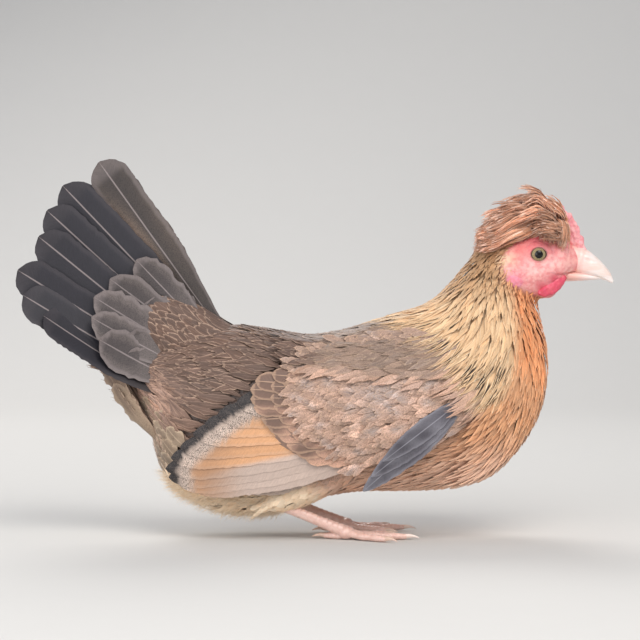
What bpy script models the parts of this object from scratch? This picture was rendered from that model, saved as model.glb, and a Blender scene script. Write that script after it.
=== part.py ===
"""A serama hen, life size, in a low crouch with her feet flat on the floor and her tail raised.

The bill points along +X, her left side is +Y and +Z is up. The origin lies on the floor, in the
middle of her length and width. Tables are in millimetres and MM turns them into metres.
"""

import math
import random

import bmesh
import bpy
from mathutils import Matrix, Vector

MM = 0.001
GAP = 0.3  # between neighbouring pieces
VANE = 0.55  # thickness of a feather's vane
SPECK = 0.002  # corners nearer than this become one

# Body, as pairs of points on the back line and the belly line: back x, z, belly x, z, half width
TORSO = (
    (-89, 80, -90, 74, 2.5),
    (-82, 85, -84.5, 65, 8),
    (-71, 90, -77, 49, 14.5),
    (-58, 94.5, -73, 34, 19.5),
    (-45, 97.5, -64, 21, 23.5),
    (-33, 98.3, -44, 12, 26.5),
    (-18, 96, -22, 11, 29.5),
    (-3, 94, -1, 17, 31.5),
    (14, 96.5, 20, 20.5, 33),
    (28, 101, 42, 20.8, 34),
    (40, 104.5, 62, 22, 33),
    (48, 107, 80, 27, 31.5),
    (53, 109.5, 94, 40, 29.5),
)
NECK = (
    (56.5, 112, 103.5, 56, 27),
    (59.5, 115, 107.3, 71, 24),
    (63, 118.5, 107.6, 86, 20),
    (67, 123.5, 105.5, 97, 16.5),
    (71.6, 129, 103.2, 107.5, 13.5),
)
HEAD = (
    (75.5, 135.5, 104, 110, 12),
    (81, 140.5, 105.5, 110, 11.8),
    (88, 143.5, 107, 110.3, 12.2),
    (97, 145, 109.5, 111, 12.6),
    (105, 144, 112.5, 113, 12),
    (112, 141.5, 116, 115.5, 10.4),
    (118, 137.5, 119.5, 118.5, 8),
    (122.3, 133.5, 122, 121.5, 5.6),
    (124.6, 131, 124.2, 123.8, 3.6),
)
NECK_CUT = (54.5, 110.6, 98.8, 48)  # back and belly ends of the cut between torso and neck
HEAD_CUT = (70.5, 128, 103.2, 105.5)
BODY_SIDES = 22

# Bill, as pairs of points on its upper and lower edges
UPPER_BILL = (
    (118.5, 137, 116.5, 122.2, 5.6),
    (123.5, 134.6, 120.5, 121.6, 5.2),
    (128.4, 131.2, 125.5, 120.9, 4.3),
    (132.8, 127.2, 130, 120.2, 3.2),
    (136.4, 122.8, 134.2, 119, 1.9),
    (138.4, 118.6, 137.6, 117.6, 0.5),
)
LOWER_BILL = (
    (115.5, 122.8, 116.5, 116.8, 4.7),
    (121, 122.4, 121.5, 116.8, 4),
    (126.5, 121.6, 126.6, 117.3, 2.8),
    (131.4, 119.8, 131.2, 118.2, 0.8),
)
NOSTRIL = (126.2, 4.5, 128.4)
NOSTRIL_SIZE = (1.6, 1.3, 0.55)
MOUTH = (111.8, 4.6, 121.3, 14, 121.2)  # back and front x of its line, inner and outer y, height

EYE = (102.4, 9.1, 130.9)
EYE_RADIUS = 4.6
LID_OUT = 3.2  # from the eye's middle to the ring of the lids
LID_RING = 4.1
LID_ROLL = 0.8

EARLOBE = (91.3, 10.4, 118.8)
EARLOBE_SIZE = (4.5, 2.1, 3.3)
WATTLE = ((115.2, 6.6, 120.6), (112.2, 8, 118), (108.6, 8.6, 115.4), (105, 8.6, 113.6),
          (102.6, 8.2, 113.2))
WATTLE_SIZES = ((1.5, 0.9), (3.1, 1.5), (3.9, 1.8), (2.9, 1.5), (1, 0.7))

COMB_BASE = ((110.5, 139), (122.5, 131.5))
COMB_EDGE = ((110.6, 150.4), (113.8, 154), (116, 151.2), (118.6, 149.6), (119.9, 146.6),
             (122.2, 144), (122.9, 140.9), (124.7, 138.2), (125, 134.6), (126.4, 132.4))
COMB_THICK = 3

CREST_AXIS = 138  # height of the line that the rows of locks fan out from
CREST_CORE = (96.5, 0, 143)
CREST_CORE_SIZE = (15, 11, 8.5)
# Locks of the crest down the middle, from the forehead back: root x, and the x and z of the point
# that the lock bends towards and of its tip
CREST_LOCKS = (
    (110, 113.5, 159, 103, 162.6),
    (107, 108.5, 162.5, 95, 163.8),
    (103.5, 103.5, 162, 88, 160.5),
    (100, 99, 159.5, 82.5, 156),
    (96, 94, 156.5, 78.5, 150.5),
    (92, 89, 153, 76, 145),
    (88, 84.5, 149, 74.8, 139),
    (84, 80.5, 144, 74.2, 133),
)
# Rows of locks: angle out from the middle, height of root and top over the axis, shift along, which
CREST_ROWS = (
    (0, 6, 25, 0, (0, 1, 2, 3, 4, 5, 7)),
    (20, 6.5, 22.8, 2, (0, 1, 3, 4, 6, 7)),
    (40, 8, 20.4, 0, (0, 2, 3, 5, 7)),
    (60, 10, 18, 1.5, (0, 2, 4, 6)),
    (78, 11.5, 16, -0.5, (1, 4, 7)),
)
FRINGE = (  # locks that hang beside the forehead: root, bend and tip
    ((106, 8.3, 141.5), (114, 11.2, 142), (115.4, 9.6, 133.2)),
    ((102, 9.5, 141), (109.5, 12.8, 142), (110.6, 12.4, 135.8)),
)
LOCK_HALF = 0.15  # half width of a lock for each millimetre from the axis to its row's top

# Folded wing, laid on a smooth sheet over the flank
SHEET_MIDDLE = (18, 58)
SHEET_REACH = (130, 112, 50, 82)  # ahead of the middle, behind it, above it and below it
SHEET_OUT = 33.5
SHOULDER = (26, 64)  # middle of the part that is covered by small coverts
SHOULDER_SIZE = (50, 27)
SHOULDER_TILT = math.radians(14)
SHOULDER_RISE = 4.5
SHOULDER_DEPTH = -5
WING_INNER = -6.3

# Outlines of a feather, as parts of its length and of its half width
LONG = ((0, 0.5), (0.4, 0.95), (0.78, 1.0), (0.94, 0.72), (1.0, 0.22))
SHORT = ((0, 0.55), (0.6, 1.0), (0.9, 0.75), (1.0, 0.25))
# Feathers of the wing from the lowest up. Each line runs through roots x, z or tips x, z.
SECONDARY_ROOTS = ((28, 39), (39, 72.5))
SECONDARY_TIPS = ((-56.7, 24.2), (-66.4, 27), (-68.6, 31.6), (-65.1, 39.1), (-58.6, 46.5),
                  (-50.2, 53.9), (-40.9, 60.5), (-29.8, 67), (-16.7, 74.4))
PRIMARY_ROOTS = ((66, 60), (56, 54))
PRIMARY_TIPS = ((-25, 20.3), (-38, 20.8), (-50, 22.5), (-58, 24.5))
GREATER_COVERT_TIPS = ((16, 37.5), (5, 37.8), (-6.5, 40), (-14.5, 45.5), (-21, 52), (-26.5, 59),
                       (-29.5, 66.5), (-27, 74))
MIDDLE_COVERT_TIPS = ((20, 44), (9, 46.5), (0, 51.5), (-7, 57.5), (-12, 64),
                      (-14.5, 71), (-11, 78))
LEADING_FEATHERS = ((71, 68.5, 23.3, 26, 5), (69, 67, 33, 37, 3.8))  # root, tip, half width

# Tail feathers of one side from the top down: root x, y, z and tip x, y, z
RECTRICES = (
    ((-42, 1.8, 92), (-100.5, 3.2, 174.6)),
    ((-45, 2.6, 87), (-116, 6, 164)),
    ((-48, 3.4, 82), (-124, 9.2, 151)),
    ((-51, 4.2, 77), (-131, 12.6, 138)),
    ((-54, 5, 72), (-136.7, 16, 124.6)),
    ((-57, 5.8, 67), (-134, 19, 112)),
    ((-60, 6.6, 62), (-124.6, 21, 102.5)),
)
TAIL_COVERTS = (
    ((-48, 5.5, 92), (-83, 8, 130)),
    ((-51, 6.2, 87), (-93, 10.5, 121)),
    ((-54, 6.8, 82), (-100, 13.2, 112)),
    ((-57, 7.4, 77), (-103, 16.2, 102.5)),
    ((-61, 8, 71.5), (-99, 18.5, 93)),
)
TAIL_CORE = ((-30, 82, 15, 10), (-50, 84, 19, 10.5), (-66, 94, 18, 10), (-79, 105, 14, 7.5),
             (-90, 115, 8, 4.5))  # x, z, half height, half width

FOOT = (14, 17)  # x and y where a shank meets its toes
FOOT_PAD = (4, 3.7, 3.1)
HOCK = (-19, 17, 17)
THIGH = ((22, 15, 46, 13), (8, 15.5, 34, 11.5), (-8, 16.5, 22.5, 8), (-18, 17, 17.5, 5.6),
         (-22.5, 17, 15.5, 2.6))
SHANK_RADIUS = 2.5
SCUTES = 7
TOE_RADIUS = 2.1
TOES = ((4, 27), (34, 21), (-28, 21), (196, 10))  # degrees outwards from straight ahead, length
CLAW = 6.5

SIDES = (("right", -1), ("left", 1))


def remove_everything():
    for obj in list(bpy.data.objects):
        bpy.data.objects.remove(obj)


def finish(name, colour, roughness, metallic=0.0):
    """A plain finish with the part's own colour."""
    made = bpy.data.materials.new(name)
    made.use_nodes = True
    shader = made.node_tree.nodes["Principled BSDF"]
    shader.inputs["Base Color"].default_value = (*colour, 1.0)
    shader.inputs["Roughness"].default_value = roughness
    shader.inputs["Metallic"].default_value = metallic
    return made


def mesh_object(name, bm, material=None):
    """An object that holds bm's mesh, given in millimetres."""
    bmesh.ops.scale(bm, vec=(MM, MM, MM), verts=bm.verts)
    bmesh.ops.recalc_face_normals(bm, faces=bm.faces)
    mesh = bpy.data.meshes.new(name)
    bm.to_mesh(mesh)
    bm.free()
    obj = bpy.data.objects.new(name, mesh)
    bpy.context.scene.collection.objects.link(obj)
    if material:
        mesh.materials.append(material)
    return obj


def smooth_rows(rows, steps):
    """Rows of numbers with steps rows for each interval, on a smooth curve through the given ones."""
    rows = [Vector(row) for row in rows]
    made = []
    for i in range(len(rows) - 1):
        before = rows[max(i - 1, 0)]
        a, b = rows[i], rows[i + 1]
        after = rows[min(i + 2, len(rows) - 1)]
        for step in range(steps):
            t = step / steps
            made.append(
                0.5 * (2 * a + (b - before) * t + (2 * before - 5 * a + 4 * b - after) * t * t
                       + (3 * a - before - 3 * b + after) * t ** 3)
            )
    return made + [rows[-1]]


def loft(rings):
    """A closed body through rings of points, with a fan of faces over each end."""
    bm = bmesh.new()
    loops = [[bm.verts.new(point) for point in ring] for ring in rings]
    for first, second in zip(loops, loops[1:]):
        for i in range(len(first)):
            j = (i + 1) % len(first)
            bm.faces.new((first[i], first[j], second[j], second[i]))
    for loop in (loops[0], loops[-1]):
        hub = bm.verts.new(sum((vert.co for vert in loop), Vector()) / len(loop))
        for i in range(len(loop)):
            bm.faces.new((loop[i], loop[(i + 1) % len(loop)], hub))
    return bm


def oval(middle, up, side, count):
    """A ring of count points round middle, with up and side as its half axes."""
    turns = [2 * math.pi * i / count for i in range(count)]
    return [middle + up * math.sin(turn) + side * math.cos(turn) for turn in turns]


def rail_loft(rows, count):
    """A body between two lines in the middle plane. A row is top x, z, under x, z, half width."""
    rings = []
    for top_x, top_z, under_x, under_z, half in rows:
        top, under = Vector((top_x, 0, top_z)), Vector((under_x, 0, under_z))
        rings.append(oval((top + under) / 2, (top - under) / 2, Vector((0, half, 0)), count))
    return loft(rings)


def sweep(path, sizes, guide, count):
    """A body along a path. A size is the half height, towards guide, and the half width."""
    path = [Vector(point) for point in path]
    guide = Vector(guide)
    rings = []
    for i, point in enumerate(path):
        along = (path[min(i + 1, len(path) - 1)] - path[max(i - 1, 0)]).normalized()
        up = (guide - along * guide.dot(along)).normalized()
        rings.append(oval(point, up * sizes[i][0], along.cross(up) * sizes[i][1], count))
    return loft(rings)


def plate(outer, inner):
    """A thin closed body between two grids of points, split into triangles alike on both faces."""
    bm = bmesh.new()
    skins = [[[bm.verts.new(point) for point in row] for row in grid] for grid in (outer, inner)]
    rows, columns = len(outer), len(outer[0])
    for skin in skins:
        for i in range(rows - 1):
            for j in range(columns - 1):
                a, b = skin[i][j], skin[i][j + 1]
                c, d = skin[i + 1][j + 1], skin[i + 1][j]
                bm.faces.new((a, b, c))
                bm.faces.new((a, c, d))
    border = [(0, j) for j in range(columns - 1)]
    border += [(i, columns - 1) for i in range(rows - 1)]
    border += [(rows - 1, j) for j in range(columns - 1, 0, -1)]
    border += [(i, 0) for i in range(rows - 1, 0, -1)]
    for (i, j), (k, m) in zip(border, border[1:] + border[:1]):
        a, b = skins[0][i][j], skins[0][k][m]
        c, d = skins[1][k][m], skins[1][i][j]
        bm.faces.new((a, b, c))
        bm.faces.new((a, c, d))
    return bm


def ball(middle, size, segments=14, rings=8):
    """An ellipsoid with its poles on the Y axis."""
    bm = bmesh.new()
    turn = Matrix.Rotation(math.pi / 2, 4, "X")
    bmesh.ops.create_uvsphere(bm, u_segments=segments, v_segments=rings, radius=1, matrix=turn)
    bmesh.ops.scale(bm, vec=size, verts=bm.verts)
    bmesh.ops.translate(bm, vec=middle, verts=bm.verts)
    return bm


def box(low, high):
    bm = bmesh.new()
    bmesh.ops.create_cube(bm, size=1)
    low, high = Vector(low), Vector(high)
    bmesh.ops.scale(bm, vec=high - low, verts=bm.verts)
    bmesh.ops.translate(bm, vec=(low + high) / 2, verts=bm.verts)
    return bm


def applied(obj):
    """Makes what obj's modifiers show its own mesh, and keeps only its largest closed surface."""
    bpy.context.view_layer.update()
    graph = bpy.context.evaluated_depsgraph_get()
    made = bpy.data.meshes.new_from_object(obj.evaluated_get(graph))
    obj.modifiers.clear()
    old, obj.data = obj.data, made
    bpy.data.meshes.remove(old)
    bm = bmesh.new()
    bm.from_mesh(made)
    bmesh.ops.remove_doubles(bm, verts=bm.verts, dist=SPECK * MM)
    shells, left = [], set(bm.faces)
    while left:
        shell, edge_of_shell = set(), [left.pop()]
        while edge_of_shell:
            face = edge_of_shell.pop()
            shell.add(face)
            sound = [edge for edge in face.edges if len(edge.link_faces) == 2]
            near = {other for edge in sound for other in edge.link_faces} & left
            left -= near
            edge_of_shell.extend(near)
        shells.append(shell)
    for shell in sorted(shells, key=shell_volume)[:-1]:
        bmesh.ops.delete(bm, geom=list(shell), context="FACES")
    bm.to_mesh(made)
    bm.free()


def shell_volume(faces):
    """Six times the volume that a closed set of faces holds."""
    total = 0.0
    for face in faces:
        corners = [vert.co for vert in face.verts]
        for b, c in zip(corners[1:], corners[2:]):
            total += corners[0].dot(b.cross(c))
    return total


def fuse(base, pieces, solver="EXACT"):
    """Joins the pieces to base and removes them."""
    group = bpy.data.collections.new("pieces")
    bpy.context.scene.collection.children.link(group)
    for piece in pieces:
        bpy.context.scene.collection.objects.unlink(piece)
        group.objects.link(piece)
    join = base.modifiers.new("Join", "BOOLEAN")
    join.operation = "UNION"
    join.operand_type = "COLLECTION"
    join.collection = group
    join.solver = solver
    applied(base)
    for piece in list(group.objects):
        bpy.data.objects.remove(piece)
    bpy.data.collections.remove(group)
    return base


def spare(obj):
    """A copy of obj as it is now, to cut others with."""
    made = obj.copy()
    made.data = obj.data.copy()
    made.name = "spare"
    bpy.context.scene.collection.objects.link(made)
    return made


def remove(objects):
    for obj in objects:
        bpy.data.objects.remove(obj)


def cut(obj, tool, grow=0.0, keep_tool=True, solver="EXACT"):
    """Takes tool, made larger all round by grow, away from obj."""
    cutter = tool.copy()
    cutter.data = tool.data.copy()
    bpy.context.scene.collection.objects.link(cutter)
    bm = bmesh.new()
    bm.from_mesh(cutter.data)
    bm.normal_update()
    moves = [(vert, vert.normal * grow * MM) for vert in bm.verts]
    for vert, move in moves:
        vert.co += move
    bm.to_mesh(cutter.data)
    bm.free()
    trim = obj.modifiers.new("Trim", "BOOLEAN")
    trim.operation = "DIFFERENCE"
    trim.object = cutter
    trim.solver = solver
    applied(obj)
    bpy.data.objects.remove(cutter)
    if not keep_tool:
        bpy.data.objects.remove(tool)
    return obj


def slice_plane(ends):
    """Middle and forward normal, in millimetres, of the plane through two points of the profile."""
    back, belly = Vector((ends[0], 0, ends[1])), Vector((ends[2], 0, ends[3]))
    down = (belly - back).normalized()
    return (back + belly) / 2, Vector((-down.z, 0, down.x))


def sliced(bm, ends, forward):
    """Keeps the part of bm in front of, or behind, a cut, half a gap away from it."""
    middle, normal = slice_plane(ends)
    side = 1 if forward else -1
    geometry = bm.verts[:] + bm.edges[:] + bm.faces[:]
    found = bmesh.ops.bisect_plane(
        bm, geom=geometry, plane_co=middle + normal * side * GAP / 2, plane_no=normal * side,
        clear_inner=True,
    )
    rim = [item for item in found["geom_cut"] if isinstance(item, bmesh.types.BMEdge)]
    bmesh.ops.edgeloop_fill(bm, edges=rim)
    return bm


def body_form():
    """Torso, neck and head as one form."""
    return rail_loft(smooth_rows(TORSO + NECK + HEAD, 2), BODY_SIDES)


def add_torso(material):
    return mesh_object("torso", sliced(body_form(), NECK_CUT, False), material)


def add_neck(material):
    form = sliced(sliced(body_form(), NECK_CUT, True), HEAD_CUT, False)
    return mesh_object("neck", form, material)


def mirrored(point, side):
    return Vector((point[0], point[1] * side, point[2]))


def lid_ring(side):
    """The two lids as a ring round the eye."""
    middle = mirrored(EYE, side) + Vector((0, LID_OUT * side, 0))
    rings = []
    for i in range(12):
        turn = 2 * math.pi * i / 12
        out = Vector((math.cos(turn), 0, math.sin(turn)))
        rings.append(oval(middle + out * LID_RING, out * LID_ROLL, Vector((0, LID_ROLL, 0)), 5))
    bm = bmesh.new()
    loops = [[bm.verts.new(point) for point in ring] for ring in rings]
    for first, second in zip(loops, loops[1:] + loops[:1]):
        for i in range(5):
            j = (i + 1) % 5
            bm.faces.new((first[i], first[j], second[j], second[i]))
    return mesh_object("lids", bm)


def add_head(material):
    """The head with its lids, the sockets of the eyes and the line of the mouth, and its bare form."""
    head = mesh_object("head", sliced(body_form(), HEAD_CUT, True), material)
    bare = spare(head)
    fuse(head, [lid_ring(side) for _, side in SIDES])
    for _, side in SIDES:
        socket = mesh_object("socket", ball(mirrored(EYE, side), (EYE_RADIUS,) * 3))
        cut(head, socket, GAP, keep_tool=False)
        back_x, inner, front_x, outer, level = MOUTH
        ends = sorted((side * inner, side * outer))
        line = box((back_x, ends[0], level - 0.3), (front_x, ends[1], level + 0.3))
        cut(head, mesh_object("mouth line", line), keep_tool=False)
    return head, bare


def add_eyes(material):
    for name, side in SIDES:
        mesh_object(f"eye_{name}", ball(mirrored(EYE, side), (EYE_RADIUS,) * 3), material)


def add_bill(material, head):
    upper = mesh_object("bill_upper", rail_loft(smooth_rows(UPPER_BILL, 2), 10), material)
    cut(upper, head, GAP)
    bare_upper = spare(upper)
    for _, side in SIDES:
        cut(upper, mesh_object("nostril", ball(mirrored(NOSTRIL, side), NOSTRIL_SIZE, 8, 6)),
            keep_tool=False)
    lower = mesh_object("bill_lower", rail_loft(smooth_rows(LOWER_BILL, 2), 10), material)
    cut(lower, head, GAP)
    cut(lower, bare_upper, GAP)
    return bare_upper


def add_comb(material, head, upper_bill):
    """A low notched comb along the forehead."""
    (back_x, back_z), (front_x, front_z) = COMB_BASE
    rows = []
    for i, (x, z) in enumerate(COMB_EDGE):
        t = i / (len(COMB_EDGE) - 1)
        base = (back_x + (front_x - back_x) * t, back_z + (front_z - back_z) * t)
        rows.append((base, ((base[0] + x) / 2, (base[1] + z) / 2), (x, z)))
    faces = []
    for side in (-1, 1):
        swell = (COMB_THICK / 2, COMB_THICK / 2 * 0.85, 0.45)
        faces.append([[Vector((x, side * swell[j], z)) for j, (x, z) in enumerate(row)]
                      for row in rows])
    comb = mesh_object("comb", plate(*faces), material)
    cut(comb, head, GAP)
    cut(comb, upper_bill, GAP)
    return comb


def add_lobes(lobe_material, wattle_material, head):
    """Earlobes on the cheeks and small wattles at the jaw."""
    for name, side in SIDES:
        lobe = mesh_object(f"earlobe_{name}", ball(mirrored(EARLOBE, side), EARLOBE_SIZE, 14, 8),
                           lobe_material)
        cut(lobe, head, GAP, solver="MANIFOLD")
        path = [mirrored(point, side) for point in WATTLE]
        wattle = mesh_object(f"wattle_{name}", sweep(path, WATTLE_SIZES, (0, 0, 1), 10),
                             wattle_material)
        cut(wattle, head, GAP, solver="MANIFOLD")


def sheet_height(x, z):
    """How far out from the middle plane the wing's sheet is."""
    along = SHEET_REACH[0] if x > SHEET_MIDDLE[0] else SHEET_REACH[1]
    upward = SHEET_REACH[2] if z > SHEET_MIDDLE[1] else SHEET_REACH[3]
    level = 1 - ((x - SHEET_MIDDLE[0]) / along) ** 2 - ((z - SHEET_MIDDLE[1]) / upward) ** 2
    return SHEET_OUT * math.sqrt(max(level, 0.05))


def on_sheet(side, x, z, out):
    """A point on the sheet that a folded wing lies on, lifted off it by out."""
    slope = Vector((sheet_height(x - 1, z) - sheet_height(x + 1, z), 2,
                    sheet_height(x, z - 1) - sheet_height(x, z + 1)))
    return mirrored(Vector((x, sheet_height(x, z), z)) + slope.normalized() * out, side)


def wing_room(side):
    """The space that a folded wing takes up, from its inner side outwards."""
    grid = [[(-70 + i * 16, 10 + j * 11) for j in range(8)] for i in range(10)]
    near = [[mirrored((x, sheet_height(x, z) + WING_INNER, z), side) for x, z in row]
            for row in grid]
    far = [[mirrored((x, 60, z), side) for x, z in row] for row in grid]
    return mesh_object("room", plate(far, near))


def shoulder_form(side):
    """The rounded front of the wing, under its small coverts."""
    turned = Matrix.Rotation(SHOULDER_TILT, 2)
    faces = []
    for rise, flat in ((SHOULDER_RISE, 0), (0, SHOULDER_DEPTH)):
        grid = []
        for i in range(9):
            row = []
            for j in range(7):
                u, v = i / 4 - 1, j / 3 - 1
                disc = Vector((u * math.sqrt(1 - v * v / 2), v * math.sqrt(1 - u * u / 2)))
                edge = min(disc.length, 1.0)
                spot = turned @ Vector((disc.x * SHOULDER_SIZE[0], disc.y * SHOULDER_SIZE[1]))
                out = flat or rise * math.sqrt(1 - edge ** 4 * 0.97)
                row.append(on_sheet(side, SHOULDER[0] + spot.x, SHOULDER[1] + spot.y, out))
            grid.append(row)
        faces.append(grid)
    return plate(*faces)


def vane(place, outline, lift, slope):
    """One feather as a thin plate. place(i, across, out) is a point at row i of its shaft."""
    faces = []
    last = len(outline) - 1
    for face in (0.5, -0.5):
        grid = []
        for i, half in enumerate(outline):
            thick = VANE * (0.55 if i == last else 1)
            grid.append([place(i, across, lift[i] - slope * across + face * thick)
                         for across in (-half, half)])
        faces.append(grid)
    return mesh_object("vane", plate(*faces))


def wing_vane(side, root, tip, half, lift, slope, form=LONG, sag=0.0):
    """A feather that lies on the wing's sheet, from root to tip, with its upper edge tucked in."""
    root, tip = Vector(root), Vector(tip)
    along = (tip - root).normalized()
    up = Vector((along.y, -along.x))
    spots = [root.lerp(tip, t) - up * sag * 4 * t * (1 - t) for t, _ in form]
    outline = [half * part for _, part in form]

    def place(i, across, out):
        spot = spots[i] + up * across
        return on_sheet(side, spot.x, spot.y, out)

    lifts = [lift[0] + (lift[1] - lift[0]) * min(1, t / 0.4) for t, _ in form]
    return vane(place, outline, lifts, slope)


def lerp_line(ends, count):
    first, last = Vector(ends[0]), Vector(ends[1])
    return [first.lerp(last, i / (count - 1)) for i in range(count)]


def add_wing(name, side, material, torso, chance):
    """A folded wing: shoulder, then primaries, secondaries and two rows of coverts over them."""
    wing = mesh_object(f"wing_{name}", shoulder_form(side), material)
    vanes = []

    def varied(tip, most):
        return Vector(tip) + Vector((chance.uniform(-most, most), chance.uniform(-most, most) / 3))

    count = len(PRIMARY_TIPS)
    for i, (root, tip) in enumerate(zip(lerp_line(PRIMARY_ROOTS, count), PRIMARY_TIPS)):
        layer = -2.6 - 0.9 * (count - 1 - i)
        vanes.append(wing_vane(side, root, varied(tip, 0.8), 4.2, (layer, layer), 0.05))
    count = len(SECONDARY_TIPS)
    for root, tip in zip(lerp_line(SECONDARY_ROOTS, count), SECONDARY_TIPS):
        vanes.append(wing_vane(side, root, varied(tip, 0.6), 7, (0, 0), 0.19, sag=1.5))
    for tips, length, half, low, high in ((GREATER_COVERT_TIPS, 25, 6.4, 1.6, 2.9),
                                          (MIDDLE_COVERT_TIPS, 19, 5.6, 2.9, 5)):
        for i, tip in enumerate(tips):
            turn = math.radians(20 - 24 * i / (len(tips) - 1))
            root = Vector(tip) + Vector((math.cos(turn), math.sin(turn))) * length
            vanes.append(wing_vane(side, root, varied(tip, 0.7), half, (low, high), 0.11, SHORT))
    for i, (x, z, tip_x, tip_z, half) in enumerate(LEADING_FEATHERS):
        lift = (0.8 + i, 4.9 + 1.2 * i)
        vanes.append(wing_vane(side, (x, z), (tip_x, tip_z), half, lift, 0))
    fuse(wing, vanes)
    return cut(wing, torso, GAP)


def tail_core(material):
    """The body that the tail feathers grow from."""
    rows = smooth_rows(TAIL_CORE, 2)
    path = [(x, 0, z) for x, z, _, _ in rows]
    sizes = [(up, out) for _, _, up, out in rows]
    return mesh_object("tail", sweep(path, sizes, (0.5, 0, 1), 16), material)


def tail_vane(side, ends, up, half, out, slope, form):
    """A feather of the tail, with its upper edge tucked in and a rounded tip."""
    root, tip = mirrored(ends[0], side), mirrored(ends[1], side)
    along = (tip - root).normalized()
    up = (up - along * along.dot(up)).normalized()
    outward = along.cross(up) * -side

    def place(i, across, lift):
        return root.lerp(tip, form[i][0]) + up * across + outward * lift

    return vane(place, [half * part for _, part in form], [out] * len(form), slope)


def add_tail(material, torso, chance):
    """Tented halves of seven feathers each, with coverts over their roots."""
    tail = tail_core(material)
    vanes = []
    for _, side in SIDES:
        for row, half, out, form in ((RECTRICES, 8.2, 0, LONG), (TAIL_COVERTS, 6.8, 0.6, SHORT)):
            for i, (root, tip) in enumerate(row):
                above, below = row[max(i - 1, 0)][1], row[min(i + 1, len(row) - 1)][1]
                up = mirrored(above, side) - mirrored(below, side)
                root, tip = Vector(root), Vector(tip)
                tip += (tip - root) * chance.uniform(-0.012, 0.0)
                vanes.append(tail_vane(side, (root, tip), up, half, out, 0.16, form))
    fuse(tail, vanes)
    return cut(tail, torso, GAP)


def crest_lock(root, bend, tip, outward, half):
    """One narrow pointed lock that rises and bends back."""
    steps = (0, 0.4, 0.75, 1.0)
    spots = [root * (1 - t) ** 2 + bend * 2 * t * (1 - t) + tip * t * t for t in steps]
    outline = [half * part for part in (0.4, 0.95, 0.75, 0.1)]
    frames = []
    for i in range(4):
        along = (spots[min(i + 1, 3)] - spots[max(i - 1, 0)]).normalized()
        across = along.cross(outward).normalized()
        frames.append((spots[i], across, across.cross(along)))

    def place(i, across, out):
        spot, side, face = frames[i]
        return spot + side * across + face * out

    return vane(place, outline, [0] * 4, 0)


def add_crest(material, head, comb, chance):
    """Rows of locks on a low core, swept up and back, and a fringe at each side."""
    crest = mesh_object("crest", ball(CREST_CORE, CREST_CORE_SIZE, 18, 10), material)
    locks = []
    for angle, low, high, shift, picks in CREST_ROWS:
        for side in ((1,) if angle == 0 else (-1, 1)):
            turn = math.radians(angle) * side
            outward = Vector((0, math.sin(turn), math.cos(turn)))

            def point(x, z):
                rise = low + (z - CREST_AXIS - 6) / 19 * (high - low)
                return Vector((x + shift, 0, CREST_AXIS)) + outward * rise

            for root_x, bend_x, bend_z, tip_x, tip_z in [CREST_LOCKS[i] for i in picks]:
                root = point(root_x, CREST_AXIS + 4)
                bend = point(bend_x, bend_z + chance.uniform(-1.2, 0.6))
                tip = point(tip_x, tip_z + chance.uniform(-1.2, 0.4))
                tip.x += chance.uniform(-0.5, 1.5)
                tip.y += chance.uniform(-0.5, 0.5)
                locks.append(crest_lock(root, bend, tip, outward, LOCK_HALF * high))
    for _, side in SIDES:
        for points in FRINGE:
            root, bend, tip = (mirrored(point, side) for point in points)
            locks.append(crest_lock(root, bend, tip, Vector((0.3, side, 0.3)), 2.5))
    fuse(crest, locks, solver="MANIFOLD")
    cut(crest, head, GAP, solver="MANIFOLD")
    return cut(crest, comb, GAP, solver="MANIFOLD")


def toe_form(side, heading, length):
    """One toe with its pads and claw."""
    turn = math.radians(heading) * side
    ahead = Vector((math.cos(turn), math.sin(turn), 0))
    root = Vector((FOOT[0], FOOT[1] * side, 0))
    path, sizes = [root - ahead + Vector((0, 0, 2.9))], [(1.7, 1.9)]
    joints = 3 if length > 12 else 1
    for i in range(joints):
        for at, swell in ((0.35, 1.0), (0.85, 0.84)):
            t = (i + at) / joints
            radius = TOE_RADIUS * swell * (1 - 0.24 * t)
            level = TOE_RADIUS * (1 - 0.24 * t) - 0.45 + 1.2 * max(0, 1 - 3 * t)
            path.append(root + ahead * length * t + Vector((0, 0, level)))
            sizes.append((radius, radius))
    for t, level, radius in ((0.15, 1.8, 1.0), (0.6, 1.7, 0.75), (1, 0.8, 0.25)):
        path.append(root + ahead * (length + CLAW * t) + Vector((0, 0, level)))
        sizes.append((radius, radius * 0.8))
    return sweep(path, sizes, (0, 0, 1), 7)


def add_foot(name, side, material):
    """Four toes on one flat sole level, and spares of their forms."""
    middle = mirrored((FOOT[0], FOOT[1], FOOT_PAD[2] - 0.5), side)
    foot = mesh_object(f"foot_{name}", ball(middle, FOOT_PAD, 12, 8), material)
    toes = [mesh_object("toe", toe_form(side, heading, length), material)
            for heading, length in TOES]
    spares = [spare(piece) for piece in [foot] + toes]
    fuse(foot, toes)
    cut(foot, mesh_object("floor", box((-60, -60, -20), (100, 60, 0))), keep_tool=False)
    return spares


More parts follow.
